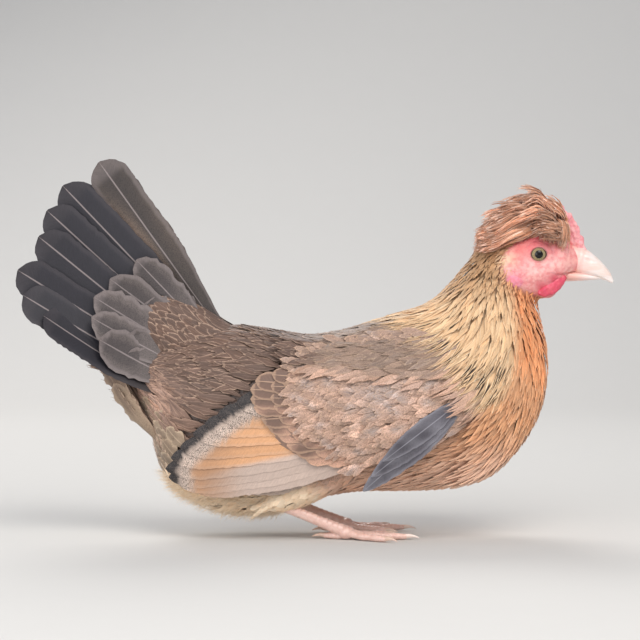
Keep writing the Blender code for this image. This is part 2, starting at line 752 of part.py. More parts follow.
def add_leg(name, side, feather, scale, torso):
    """Feathered lower thigh, scaly shank and the foot."""
    path = [mirrored(row[:3], side) for row in THIGH]
    thigh = mesh_object(f"thigh_{name}", sweep(path, [(row[3],) * 2 for row in THIGH],
                                               (1, 0, 0), 14), feather)
    bare_thigh = spare(thigh)
    cut(thigh, torso, GAP, solver="MANIFOLD")
    cut(thigh, wing_room(side), keep_tool=False, solver="MANIFOLD")
    foot_forms = add_foot(name, side, scale)
    hock, ankle = mirrored(HOCK, side), mirrored((FOOT[0], FOOT[1], 3.4), side)
    path, sizes = [], []
    for i in range(SCUTES):
        for at, swell in ((0.0, 0.86), (0.75, 1.06)):
            path.append(hock.lerp(ankle, (i + at) / SCUTES))
            sizes.append((SHANK_RADIUS * swell, SHANK_RADIUS * swell * 0.88))
    path.append(ankle)
    sizes.append((SHANK_RADIUS * 1.1, SHANK_RADIUS * 1.15))
    shank = mesh_object(f"shank_{name}", sweep(path, sizes, (1, 0, 1), 8), scale)
    for other in foot_forms + [bare_thigh, torso]:
        cut(shank, other, GAP)
    remove(foot_forms + [bare_thigh])


def build():
    remove_everything()
    breast = finish("breast plumage", (0.62, 0.33, 0.16), 0.8)
    hackle = finish("hackle plumage", (0.66, 0.45, 0.22), 0.75)
    covert = finish("wing plumage", (0.42, 0.27, 0.19), 0.75)
    dark = finish("tail plumage", (0.1, 0.085, 0.085), 0.6)
    crest_brown = finish("crest plumage", (0.45, 0.24, 0.12), 0.75)
    face = finish("face skin", (0.78, 0.36, 0.33), 0.55)
    red = finish("wattle skin", (0.72, 0.14, 0.14), 0.5)
    lobe = finish("earlobe skin", (0.78, 0.42, 0.45), 0.55)
    horn = finish("pale horn", (0.85, 0.7, 0.6), 0.35)
    scale = finish("leg scales", (0.8, 0.58, 0.5), 0.5)
    eye = finish("eye", (0.05, 0.035, 0.02), 0.1)

    torso = add_torso(breast)
    neck = add_neck(hackle)
    _, head = add_head(face)
    add_eyes(eye)
    upper_bill = add_bill(horn, head)
    comb = add_comb(red, head, upper_bill)
    add_lobes(lobe, red, head)
    chance = random.Random(11)
    add_crest(crest_brown, head, comb, chance)
    add_tail(dark, torso, chance)
    for name, side in SIDES:
        add_wing(name, side, covert, torso, chance)
        add_leg(name, side, breast, scale, torso)
    remove([head, upper_bill])
    for obj in bpy.data.objects:
        obj.data.shade_smooth()
        obj.data.set_sharp_from_angle(angle=math.radians(40))


build()
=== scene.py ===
"""The looks of a crested serama hen, a still, life-size model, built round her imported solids.

The bill points along +X, her left side is +Y and +Z is up. Tables are in millimetres, and MM turns
them into metres.
"""

import math

import bpy
import numpy as np
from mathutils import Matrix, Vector
from mathutils.kdtree import KDTree


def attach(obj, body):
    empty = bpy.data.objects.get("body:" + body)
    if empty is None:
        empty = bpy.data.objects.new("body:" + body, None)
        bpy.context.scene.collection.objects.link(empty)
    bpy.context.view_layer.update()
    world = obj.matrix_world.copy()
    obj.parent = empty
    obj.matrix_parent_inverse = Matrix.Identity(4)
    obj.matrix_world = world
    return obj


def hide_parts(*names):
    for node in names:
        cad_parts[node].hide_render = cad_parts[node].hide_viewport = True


bl_info = {
    "name": "Serama hen",
    "version": (1, 0, 0),
    "blender": (4, 5, 0),
    "location": "View3D > Sidebar > Hen",
    "description": "Skin, feathers, face, bill, legs and stage of a crested serama hen",
    "category": "Add Mesh",
}

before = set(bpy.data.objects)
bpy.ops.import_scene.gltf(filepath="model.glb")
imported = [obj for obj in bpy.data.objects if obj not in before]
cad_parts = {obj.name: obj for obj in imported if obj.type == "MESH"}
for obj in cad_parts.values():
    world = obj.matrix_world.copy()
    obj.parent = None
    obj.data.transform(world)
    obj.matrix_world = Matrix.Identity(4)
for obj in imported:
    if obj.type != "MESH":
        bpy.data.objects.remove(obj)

MM = 0.001
SIDES = (("right", -1), ("left", 1))

# Body, as pairs of points on the back line and the belly line: back x, z, belly x, z, half width
TORSO = (
    (-89, 80, -90, 74, 2.5),
    (-82, 85, -84.5, 65, 8),
    (-71, 90, -77, 49, 14.5),
    (-58, 94.5, -73, 34, 19.5),
    (-45, 97.5, -64, 21, 23.5),
    (-33, 98.3, -44, 12, 26.5),
    (-18, 96, -22, 11, 29.5),
    (-3, 94, -1, 17, 31.5),
    (14, 96.5, 20, 20.5, 33),
    (28, 101, 42, 20.8, 34),
    (40, 104.5, 62, 22, 33),
    (48, 107, 80, 27, 31.5),
    (53, 109.5, 94, 40, 29.5),
)
NECK = (
    (56.5, 112, 103.5, 56, 27),
    (59.5, 115, 107.3, 71, 24),
    (63, 118.5, 107.6, 86, 20),
    (67, 123.5, 105.5, 97, 16.5),
    (71.6, 129, 103.2, 107.5, 13.5),
)
HEAD = (
    (75.5, 135.5, 104, 110, 12),
    (81, 140.5, 105.5, 110, 11.8),
    (88, 143.5, 107, 110.3, 12.2),
    (97, 145, 109.5, 111, 12.6),
    (105, 144, 112.5, 113, 12),
    (112, 141.5, 116, 115.5, 10.4),
    (118, 137.5, 119.5, 118.5, 8),
    (122.3, 133.5, 122, 121.5, 5.6),
    (124.6, 131, 124.2, 123.8, 3.6),
)
UPPER_BILL = (
    (118.5, 137, 116.5, 122.2, 5.6),
    (123.5, 134.6, 120.5, 121.6, 5.2),
    (128.4, 131.2, 125.5, 120.9, 4.3),
    (132.8, 127.2, 130, 120.2, 3.2),
    (136.4, 122.8, 134.2, 119, 1.9),
    (138.4, 118.6, 137.6, 117.6, 0.5),
)
LOWER_BILL = (
    (112.5, 124, 112.5, 118.4, 4.6),
    (116.5, 123.6, 117, 118.4, 4.7),
    (121, 122.8, 121.5, 118.6, 4),
    (126.5, 122, 126.6, 118.9, 2.9),
    (132, 120.6, 131.8, 119.3, 1.2),
)
NOSTRIL = (126.2, 128.4)
EYE = (102.4, 9.1, 130.9)
EYE_RADIUS = 4.6
EARLOBE = (91.3, 10.4, 118.8)
EARLOBE_SIZE = (4.5, 2.1, 3.3)
WATTLE = ((115.2, 6.6, 120.6), (112.2, 8, 118), (108.6, 8.6, 115.4), (105, 8.6, 113.6),
          (102.6, 8.2, 113.2))
WATTLE_SIZES = ((1.2, 0.8), (2.4, 1.3), (3.1, 1.6), (2.4, 1.4), (0.9, 0.7))
COMB_BASE = ((110.5, 139), (122.5, 131.5))
COMB_EDGE = ((110.6, 150.4), (113.8, 154), (116, 151.2), (118.6, 149.6), (119.9, 146.6),
             (122.2, 144), (122.9, 140.9), (124.7, 138.2), (125, 134.6), (126.4, 132.4))

# Crest, as rows of locks that fan out from a level axis
CREST_AXIS = 138
CREST_LOCKS = (
    (113.5, 118.6, 152.5, 109, 159.5),
    (110, 113.5, 159, 103, 162.6),
    (107, 108.5, 162.5, 95, 163.8),
    (103.5, 103.5, 162, 88, 160.5),
    (100, 99, 159.5, 82.5, 156),
    (96, 94, 156.5, 78.5, 150.5),
    (92, 89, 153, 76, 145),
    (88, 84.5, 149, 74.8, 139),
    (84, 80.5, 144, 74.2, 133),
)
# Layers of the crest from within: reach, locks, feathers in each, and how far each is darkened as
# painted shade, most for the inner layers that lie under the others
CREST_LAYERS = ((0.5, 16, 7, 0.7), (0.68, 22, 8, 0.5), (0.84, 34, 10, 0.3), (1.0, 66, 12, 0.0))
# Roots, bends and tips of the first and the last feather of the row over each eye
BROW_FEATHERS = (((112.5, 5, 147), (98, 8.5, 144.5)), ((118.5, 9.4, 147), (103, 15.4, 146)),
                 ((115.6, 10.2, 133.6), (102.5, 14.2, 140.2)))
# Inner and outer reach of the crest from its axis, by degrees from upright
CREST_FAN = ((0, 6, 25), (20, 6.5, 22.8), (40, 8, 20.4), (60, 10, 18), (78, 11.5, 16))

# Folded wing, laid on a smooth sheet over the flank
SHEET_MIDDLE = (18, 58)
SHEET_REACH = (130, 112, 50, 82)
SHEET_OUT = 33.5
SHOULDER = (26, 64)
SHOULDER_SIZE = (50, 27)
SHOULDER_TILT = math.radians(14)
SHOULDER_RISE = 4.5
# Strips of the bake map for the long feathers of a wing, and of the tail
WING_STRIPS, TAIL_STRIPS = 78, 34
SECONDARY_ROOTS = ((28, 39), (39, 72.5))
SECONDARY_TIPS = ((-56.7, 24.2), (-66.4, 27), (-68.6, 31.6), (-65.1, 39.1), (-58.6, 46.5),
                  (-50.2, 53.9), (-40.9, 60.5), (-29.8, 67), (-16.7, 74.4))
PRIMARY_ROOTS = ((66, 60), (56, 54))
PRIMARY_TIPS = ((-25, 20.3), (-38, 20.8), (-50, 22.5), (-58, 24.5))
GREATER_COVERT_TIPS = ((16, 37.5), (5, 37.8), (-6.5, 40), (-14.5, 45.5), (-21, 52), (-26.5, 59),
                       (-29.5, 66.5), (-27, 74))
MIDDLE_COVERT_TIPS = ((20, 44), (9, 46.5), (0, 51.5), (-7, 57.5), (-12, 64),
                      (-14.5, 71), (-11, 78))
# Rows of coverts: tips, how far ahead of them, count, length, half width and lift
COVERT_ROWS = ((GREATER_COVERT_TIPS, 0, 13, 25, 4.6, 0.9, 1.6),
               (GREATER_COVERT_TIPS, 8, 13, 20, 3.8, 1.4, 2.1),
               (GREATER_COVERT_TIPS, 15, 13, 18, 3.6, 1.7, 2.4),
               (MIDDLE_COVERT_TIPS, 0, 15, 19, 3.4, 1.9, 2.6))
# Roots, tips, half widths and lifts of the slate feathers at the front of the wing
SLATE_FEATHERS = (((73, 69.5), (72, 68), (71, 69)), ((21.3, 24.5), (25, 31), (30, 38)),
                  (6.2, 5.6, 4.8), ((0.8, 3.6), (1.2, 4), (1.6, 4.5)))
WING_PRINT = ((78, 68), (62, 91), (10, 94), (-12, 85), (-36, 67), (-72, 34), (-60, 19), (-20, 18),
              (10, 25), (30, 35), (60, 46), (74, 59))

# Tail feathers of one side from the top down: root x, y, z and tip x, y, z
RECTRICES = (
    ((-42, 1.8, 92), (-100.5, 3.2, 173.6)),
    ((-45, 2.6, 87), (-117, 6, 162.5)),
    ((-48, 3.4, 82), (-124, 9.2, 151)),
    ((-51, 4.2, 77), (-127.5, 12.6, 139)),
    ((-54, 5, 72), (-136.7, 16, 123.6)),
    ((-57, 5.8, 67), (-134, 19, 112)),
    ((-60, 6.6, 62), (-124.6, 21, 102.5)),
)
TAIL_COVERTS = (
    ((-48, 5.5, 92), (-83, 8, 130)),
    ((-51, 6.2, 87), (-93, 10.5, 121)),
    ((-54, 6.8, 82), (-100, 13.2, 112)),
    ((-57, 7.4, 77), (-103, 16.2, 102.5)),
    ((-61, 8, 71.5), (-99, 18.5, 93)),
)
TAIL_CORE = ((-30, 82, 15, 10), (-50, 84, 19, 10.5), (-66, 94, 18, 10), (-79, 105, 14, 7.5),
             (-90, 115, 8, 4.5))

# Feathers under the tail, by layer: root, bend and tip, with y as the reach to either side
UNDER_TAIL = (
    ((-66, 4, 56), (-80, 5, 92), (-99, 5, 124)),
    ((-70, 6, 50), (-86, 7, 78), (-104, 6, 106)),
    ((-74, 9, 47), (-90, 9.5, 71), (-106, 9, 94)),
    ((-73, 10, 45), (-89, 11, 65), (-99, 10, 83)),
    ((-71, 10, 42), (-86, 11, 57), (-92, 11.5, 71)),
)

FOOT = (14, 17)
FOOT_PAD = (4, 3.7, 3.1)
HOCK = (-19, 17, 17)
THIGH = ((22, 15, 46, 13), (8, 15.5, 34, 11.5), (-8, 16.5, 22.5, 8), (-18, 17, 17.5, 5.6),
         (-22.5, 17, 15.5, 2.6))
SHANK_RADIUS = 2.5
TOE_RADIUS = 2.1
TOES = ((4, 27), (34, 21), (-28, 21), (196, 10))
CLAW = 6.5

# Stage, in metres: what the camera looks at, its distance and its tilt, then lamps by place, size,
# power and colour, and the light of the room
AIM = (0.00186, 0, 0.1004)
CAMERA_AWAY, CAMERA_TILT, CAMERA_LENS = 1.1, math.radians(1.5), 133
LAMPS = (("key", (0.35, -0.95, 1.15), 0.9, 15, (1.0, 0.97, 0.93)),
         ("fill", (-0.7, -1.0, 0.25), 1.0, 9, (0.95, 0.97, 1.0)),
         ("rim", (-0.3, 0.9, 1.0), 0.7, 9, (1.0, 0.98, 0.96)))
ROOM_COLOUR, ROOM_LIGHT = (0.86, 0.9, 1.0, 1), 0.52

# Parts of the coat, as outlines of the side view
CAPE = ((16, 116), (22, 106), (38, 97), (50, 90), (58, 80), (66, 70), (74, 61), (82, 62), (88, 73),
        (92, 88), (92, 100), (90, 112), (84, 118), (84, 132), (92, 150), (60, 150))
DASHES = ((24, 108), (46, 99), (61, 91), (70, 82), (79, 79), (88, 86), (91, 74), (82, 60), (72, 57),
          (60, 70), (45, 84), (26, 95))
THROAT = ((92, 116), (118, 120), (124, 90), (104, 66), (93, 78), (91, 96))
MANTLE = ((-12, 104), (20, 112), (40, 98), (58, 84), (52, 74), (24, 76), (-6, 80))
SADDLE = ((-110, 120), (-2, 108), (0, 86), (-14, 74), (-48, 48), (-66, 40), (-84, 56), (-110, 80))
VENT = ((-96, 62), (-70, 50), (-52, 38), (-52, 22), (-72, 20), (-90, 40))
FLUFF = ((-78, 30), (-48, 34), (-10, 30), (6, 20), (0, 0), (-70, 0))
FACE = ((94, 139), (87, 133), (84.5, 126), (86.5, 119.5), (92, 115.5), (99, 112.6), (104, 110),
        (112, 108), (140, 108), (140, 152), (112, 152), (104, 141))


def tone(red, green, blue):
    """A colour that is given as it looks on a screen, in the numbers that a shader takes."""
    return tuple(((part / 255 + 0.055) / 1.055) ** 2.4 for part in (red, green, blue))


def toward(values, part, goal):
    """Values moved towards a goal by part."""
    return values + (np.asarray(goal, float) - values) * np.asarray(part)[..., None]


def blend_in(values, part, goal):
    """Moves values towards a goal by part, in place."""
    values[:] = toward(values, part, goal)


def in_plane(x, z):
    """Points of the middle plane."""
    return np.stack([x, 0 * x, z], -1)


def unit(vectors):
    return vectors / np.maximum(np.linalg.norm(vectors, axis=-1, keepdims=True), 1e-9)


def ease(value, low, high):
    """0 below low and 1 above high, smooth between them."""
    t = np.clip((value - low) / (high - low), 0, 1)
    return t * t * (3 - 2 * t)


def from_line(points, line):
    """Distance of points from a line of the side view."""
    spots = points[..., (0, 2)]
    near = np.full(spots.shape[:-1], np.inf)
    for a, b in zip(np.array(line, float), np.array(line[1:], float)):
        t = np.clip(((spots - a) @ (b - a)) / ((b - a) @ (b - a)), 0, 1)
        near = np.minimum(near, np.linalg.norm(spots - a - t[..., None] * (b - a), axis=-1))
    return near


def zone(points, outline, soft):
    """1 inside an outline of the side view and 0 outside, with an edge that is soft."""
    line = (*outline, outline[0])
    near = from_line(points, line)
    x, z = points[..., 0], points[..., 2]
    inside = np.zeros(x.shape, bool)
    for a, b in zip(line, line[1:]):
        at = a[0] + (z - a[1]) / (b[1] - a[1] + 1e-12) * (b[0] - a[0])
        inside ^= ((a[1] > z) != (b[1] > z)) & (x < at)
    return ease(np.where(inside, near, -near), -soft, soft)


def blot(points, x, z, wide, high=None):
    """1 at a place of the side view, fading out over a width and a height."""
    across, up = (points[..., 0] - x) / wide, (points[..., 2] - z) / (high or wide)
    return np.exp(-across ** 2 - up ** 2)


def smooth_rows(rows, steps):
    """Rows on a smooth curve through the given ones, with steps rows for each interval."""
    rows = np.array(rows, float)
    ends = np.vstack([rows[:1], rows, rows[-1:]])
    t = np.arange(steps)[:, None] / steps
    made = []
    for before, a, b, after in zip(ends, ends[1:], ends[2:], ends[3:]):
        made.append(0.5 * (2 * a + (b - before) * t + (2 * before - 5 * a + 4 * b - after) * t ** 2
                           + (3 * a - before - 3 * b + after) * t ** 3))
    return np.vstack(made + [rows[-1:]])


class Form:
    """A tube of ovals. A place on it is s, from 0 to 1 along it, and turn, from 0 to 1 round it."""

    RINGS = 700

    def __init__(self, middles, ups, sides, turned=0.25):
        rings = np.hstack([middles, ups, sides])
        moved = np.diff(rings, axis=0)
        gone = np.linalg.norm(moved[:, :3], axis=1) + 0.5 * np.linalg.norm(moved[:, 3:6], axis=1)
        place = np.concatenate([[0], np.cumsum(gone + 1e-6)])
        even = np.linspace(0, place[-1], self.RINGS)
        self.rings = np.stack([np.interp(even, place, column) for column in rings.T], 1)
        self.length = float(np.linalg.norm(np.diff(self.rings[:, :3], axis=0), axis=1).sum())
        self.turned = turned

    def at(self, s, turn):
        """Points. Past its ends the form goes straight on."""
        place = s * (len(self.rings) - 1)
        i = np.clip(place.astype(int), 0, len(self.rings) - 2)
        part = (place - i)[..., None]
        first, second = self.rings[i], self.rings[i + 1]
        middle = first[..., :3] + (second[..., :3] - first[..., :3]) * part
        ring = first[..., 3:] + (second[..., 3:] - first[..., 3:]) * np.clip(part, 0, 1)
        angle = 2 * np.pi * (turn - self.turned)
        return (middle + ring[..., :3] * np.sin(angle)[..., None]
                + ring[..., 3:] * np.cos(angle)[..., None])

    def frame(self, s, turn):
        """Points, their changes with s and with turn, and the outward normals."""
        step = 0.003
        along = (self.at(s + step, turn) - self.at(s - step, turn)) / (2 * step)
        around = (self.at(s, turn + step) - self.at(s, turn - step)) / (2 * step)
        return self.at(s, turn), along, around, unit(np.cross(around, along))


def rail_form(rows):
    """A tube between two lines of the middle plane, given as x, z, x, z and half width."""
    x, z, low_x, low_z, half = smooth_rows(rows, 8).T
    top, under = in_plane(x, z), in_plane(low_x, low_z)
    return Form((top + under) / 2, (top - under) / 2, in_plane(half, 0 * x)[:, (1, 0, 2)])


def egg(middle, sizes, count):
    """An oval body with half sizes along x, y and z."""
    lean = np.linspace(0.02, np.pi - 0.02, count)
    zero = 0 * lean
    out = np.sin(lean)
    return Form(in_plane(-sizes[0] * np.cos(lean), zero) + middle, in_plane(zero, sizes[2] * out),
                np.stack([zero, sizes[1] * out, zero], 1))


def swept_form(path, sizes, guide, steps=6):
    """A tube along a path. A size is the half height, towards guide, and the half width."""
    rows = smooth_rows([(*point, *size) for point, size in zip(path, sizes)], steps)
    along = unit(np.gradient(rows[:, :3], axis=0))
    guide = np.array(guide, float)
    up = unit(guide - along * (along @ guide)[:, None])
    return Form(rows[:, :3], up * rows[:, 3:4], np.cross(up, along) * rows[:, 4:5])


def steps_for(along, around, move):
    """The changes of s and turn that move a point of a form by a vector."""
    a, b, c = ((p * q).sum(-1) for p, q in ((along, along), (along, around), (around, around)))
    u, v = (move * along).sum(-1), (move * around).sum(-1)
    room = np.maximum(a * c - b * b, 1e-9)
    return (np.clip((u * c - v * b) / room, -0.08, 0.08),
            np.clip((v * a - u * b) / room, -0.08, 0.08))


def leaf(stations, columns, point, sweep=0.12, wide=None):
    """Rows of (along, across) of a feather, as parts of its length and its half width.

    A large point gives a lance and a small one a spoon. Past wide the feather narrows to its tip.
    The barbs sweep towards the tip.
    """
    t = np.array(stations, float)
    wide = wide or 0.62 - 0.2 * point
    past = np.clip((t - wide) / (1 - wide), 0, 1)
    half = np.where(t < wide, 0.35 + 0.65 * ease(t, 0, min(wide, 0.5)),
                    (1 - past ** (2.4 - point)) ** (0.62 if point < 1.2 else 0.85))
    half = np.maximum(half, 0.06)
    a = np.linspace(-1, 1, columns)
    across = half[:, None] * a
    along = t[:, None] + sweep * np.abs(across) * ((1 - t) ** 0.5)[:, None]
    return np.stack([along, across], -1)


# How far the underside of a small feather lies below its shaft
SHAFT_DEPTH = 0.18


def lay(form, s, turn, lean, length, half, shape, rough, height, over=None):
    """Points of feathers that lie along a form, by feather, row and column.

    They head for the end of the form at s 0, and lean turns them towards the belly. The last
    column lies under the shaft. over gives what has to be added to a point of the form.
    """
    side = np.where(turn < 0.5, -1.0, 1.0)
    lean = lean * np.minimum(1, np.abs(turn - 0.5) / 0.05) * np.minimum(
        1, (0.5 - np.abs(turn - 0.5)) / 0.05)
    rows, columns, _ = shape.shape
    made = np.empty((len(s), rows, columns + 1, 3))
    middle = columns // 2

    def flow(along, around, normal):
        back = -unit(along)
        down = unit(np.cross(normal, back)) * side[:, None]
        down *= np.sign((down * around).sum(-1) * side)[:, None]
        return back * np.cos(lean)[:, None] + down * np.sin(lean)[:, None]

    _, along, around, normal = form.frame(s, turn)
    heading = flow(along, around, normal)
    for row in range(rows):
        if row:
            gone = (shape[row, middle, 0] - shape[row - 1, middle, 0]) * length
            d_s, d_turn = steps_for(along, around, heading * gone[:, None])
            s, turn = s + d_s, turn + d_turn
            _, along, around, normal = form.frame(s, turn)
            mixed = heading * 0.6 + flow(along, around, normal) * 0.4
            heading = unit(mixed - normal * (mixed * normal).sum(-1)[:, None])
        across = np.cross(heading, normal)
        for column in range(columns):
            forward = (shape[row, column, 0] - shape[row, middle, 0]) * length
            out = shape[row, column, 1] * half * rough[:, row, column]
            d_s, d_turn = steps_for(along, around,
                                    heading * forward[:, None] + across * out[:, None])
            spot = form.at(s + d_s, turn + d_turn)
            if over:
                spot = spot + over(spot)
            made[:, row, column] = spot + normal * height[:, row, column, None]
        deep = np.maximum(SHAFT_DEPTH * min(1, 0.4 + 3 * (1 - shape[row, middle, 0])), 0.05)
        made[:, row, columns] = made[:, row, middle] - normal * deep
    return made


def ragged(rng, count, shape, most):
    """Widths of the rows of many feathers, uneven along both edges."""
    rows, columns, _ = shape.shape
    made = np.ones((count, rows, columns))
    for edge, one in ((0, 1), (-1, -2)):
        pull = rng.uniform(-most, most * 0.4, (count, rows))
        made[:, :, edge] += pull
        made[:, :, one] += pull * 0.4
    return made


def scatter(form, rng, spacing, keep, tries):
    """Places on a form that are spacing apart, where keep holds. Both are given the points."""
    s, turn = rng.random(tries), rng.random(tries)
    here, along, around, _ = form.frame(s, turn)
    area = np.linalg.norm(np.cross(along, around), axis=1)
    taken = (rng.random(tries) < area / area.max()) & (keep(here) > rng.random(tries))
    s, turn, here = s[taken], turn[taken], here[taken]
    near = spacing(here) * np.ones(len(here))
    tree = KDTree(len(here))
    for i, point in enumerate(here):
        tree.insert(point, i)
    tree.balance()
    gone = np.zeros(len(here), bool)
    kept = []
    for i, point in enumerate(here):
        if gone[i]:
            continue
        kept.append(i)
        for _, other, _ in tree.find_range(point, near[i]):
            gone[other] = True
    return s[kept], turn[kept], here[kept]


class Coat:
    """Many small closed bodies that become one mesh, with the marks that its material reads."""

    def __init__(self, name):
        self.name, self.count = name, 0
        self.points, self.corners, self.sizes, self.patches, self.marks = [], [], [], [], []

    def add(self, points, faces, patches, web, reach, look, flip=False):
        """Everything but faces is given by body and point. patches are places on the map."""
        bodies, each = points.shape[:2]
        corners, sizes = flat([face[::-1] for face in faces] if flip else faces)
        starts = self.count + np.arange(bodies)[:, None] * each
        self.corners.append((starts + corners).ravel())
        self.sizes.append(np.tile(sizes, bodies))
        self.points.append(points.reshape(-1, 3))
        self.patches.append(patches.reshape(-1, 2))
        marks = [web, reach, np.broadcast_to(look, (bodies, each, look.shape[-1]))]
        self.marks.append(np.concatenate(marks, -1).reshape(bodies * each, -1))
        self.count += bodies * each

    def make(self, material, slot, *nodes):
        """The mesh, riding on the model and standing for the nodes."""
        corners = np.concatenate(self.corners)
        faces = corners, np.concatenate(self.sizes)
        obj = mesh_piece(self.name, np.vstack(self.points), faces, material,
                         np.vstack(self.patches)[corners], 50)
        marks = np.vstack(self.marks)
        for number, key in enumerate(("web", "reach", "ground", "middle", "rim", "amount")):
            last = None if key == "amount" else 3 * number + 3
            add_mark(obj, key, marks[:, 3 * number:last])
        return placed(obj, *nodes, slot=slot)


def add_mark(obj, key, values):
    """Adds a number, a direction or a colour for each point, which a material can read."""
    kind, field = {1: ("FLOAT", "value"), 3: ("FLOAT_VECTOR", "vector"),
                   4: ("FLOAT_COLOR", "color")}[values.shape[1]]
    if field == "vector" and key not in ("web", "reach"):
        kind, field = "FLOAT_COLOR", "color"
        values = np.hstack([values, np.ones((len(values), 1))])
    made = obj.data.attributes.new(key, kind, "POINT")
    made.data.foreach_set(field, values.astype(np.float32).ravel())


class Strips:
    """Strips of the bake map for large feathers, one above the other."""

    def __init__(self, total):
        self.total, self.used = total, 0

    def take(self, count):
        places = (self.used + 0.5 + np.arange(count)) / self.total
        self.used += count
        return np.stack([np.full(count, 0.02), places], -1)


def mesh_piece(name, points, faces, material, spots=None, sharp=0):
    """An object with a mesh of points in millimetres, and a bake map where spots are given."""
    corners, sizes = faces
    mesh = bpy.data.meshes.new(name)
    mesh.vertices.add(len(points))
    mesh.vertices.foreach_set("co", (np.array(points) * MM).astype(np.float32).ravel())
    mesh.loops.add(len(corners))
    mesh.loops.foreach_set("vertex_index", np.asarray(corners, np.int32))
    mesh.polygons.add(len(sizes))
    starts = np.concatenate([[0], np.cumsum(sizes)[:-1]])
    mesh.polygons.foreach_set("loop_start", starts.astype(np.int32))
    mesh.update(calc_edges=True)
    mesh.shade_smooth()
    if sharp:
        mesh.set_sharp_from_angle(angle=math.radians(sharp))
    if spots is not None:
        mesh.uv_layers.new(name="OFBake")
        mesh.uv_layers["OFBake"].uv.foreach_set("vector", spots.astype(np.float32).ravel())
    mesh.materials.append(material)
    obj = bpy.data.objects.new(name, mesh)
    bpy.context.scene.collection.objects.link(obj)
    return obj


def placed(obj, *nodes, slot=None):
    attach(obj, "root")
    if nodes:
        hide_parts(*nodes)
    return obj


def tube(form, rows, around, swell=None):
    """Points and faces of a form's surface, closed at both ends. swell moves points outwards."""
    s, turn = np.meshgrid(rows, np.arange(around) / around, indexing="ij")
    here, _, _, normal = form.frame(s, turn)
    if swell is not None:
        here = here + normal * swell(s, turn, here)[..., None]
    return here.reshape(-1, 3), ring_faces(len(rows), around), s.ravel(), turn.ravel()


def ring_faces(rows, around, side=1, ends=True):
    """Faces between closed rings of points, and over both ends. side -1 turns them over."""
    faces = []
    for i in range(rows - 1):
        for j in range(around):
            k = (j + 1) % around
            faces.append((i * around + j, i * around + k, (i + 1) * around + k,
                          (i + 1) * around + j))
    if ends:
        last = (rows - 1) * around
        faces = [tuple(range(around - 1, -1, -1)), *faces, tuple(range(last, last + around))]
    return [face[::side] for face in faces]


def flat(faces):
    return np.array([corner for face in faces for corner in face]), [len(f) for f in faces]


# Finishes

def node(tree, kind, inputs=None, **settings):
    """A shader node. An input is a value or another node's socket."""
    made = tree.nodes.new("ShaderNode" + kind)
    for key, value in settings.items():
        setattr(made, key, value)
    for key, value in (inputs or {}).items():
        if isinstance(value, bpy.types.NodeSocket):
            tree.links.new(value, made.inputs[key])
        else:
            made.inputs[key].default_value = value
    return made


def sums(tree, operation, first, second=0.0):
    return node(tree, "Math", {0: first, 1: second}, operation=operation).outputs[0]


def times(tree, first, second):
    return sums(tree, "MULTIPLY", first, second)


def noise(tree, place, scale, detail, **more):
    return node(tree, "TexNoise", {"Vector": place, "Scale": scale, "Detail": detail,
                                   **more}).outputs["Fac"]


def parts_of(tree, vector):
    return node(tree, "SeparateXYZ", {0: vector}).outputs


def step_between(tree, value, low, high, start=0.0, end=1.0):
    made = node(tree, "MapRange", {"Value": value, "From Min": low, "From Max": high,
                                   "To Min": start, "To Max": end},
                interpolation_type="SMOOTHSTEP")
    return made.outputs["Result"]


def mixed(tree, part, first, second, blend="MIX"):
    made = node(tree, "Mix", {"Factor": part}, data_type="RGBA", blend_type=blend)
    for socket, value in ((made.inputs[6], first), (made.inputs[7], second)):
        if isinstance(value, bpy.types.NodeSocket):
            tree.links.new(value, socket)
        else:
            socket.default_value = (*value, 1)[:4]
    return made.outputs[2]


def group(name, inputs, outputs):
    """An empty shader node group, with its input and output nodes."""
    tree = bpy.data.node_groups.new(name, "ShaderNodeTree")
    for socket, kind, value in inputs:
        made = tree.interface.new_socket(socket, in_out="INPUT", socket_type="NodeSocket" + kind)
        if value is not None:
            made.default_value = value
    for socket, kind in outputs:
        tree.interface.new_socket(socket, in_out="OUTPUT", socket_type="NodeSocket" + kind)
    return tree, tree.nodes.new("NodeGroupInput"), tree.nodes.new("NodeGroupOutput")


def placed_group(tree, name, inputs):
    return node(tree, "Group", inputs, node_tree=bpy.data.node_groups[name]).outputs


def new_material(name, **values):
    """A material, its node tree and its shader's inputs, with values set by their names."""
    made = bpy.data.materials.new(name)
    made.use_nodes = True
    inputs = made.node_tree.nodes["Principled BSDF"].inputs
    for key, value in values.items():
        inputs[key.replace("_", " ")].default_value = value
    return made, made.node_tree, inputs


def set_surface(tree, inputs, colour, height, strength, distance):
    """Gives a shader its colour, and a height as bumps."""
    tree.links.new(colour, inputs["Base Color"])
    bump = node(tree, "Bump", {"Height": height, "Strength": strength, "Distance": distance})
    tree.links.new(bump.outputs[0], inputs["Normal"])


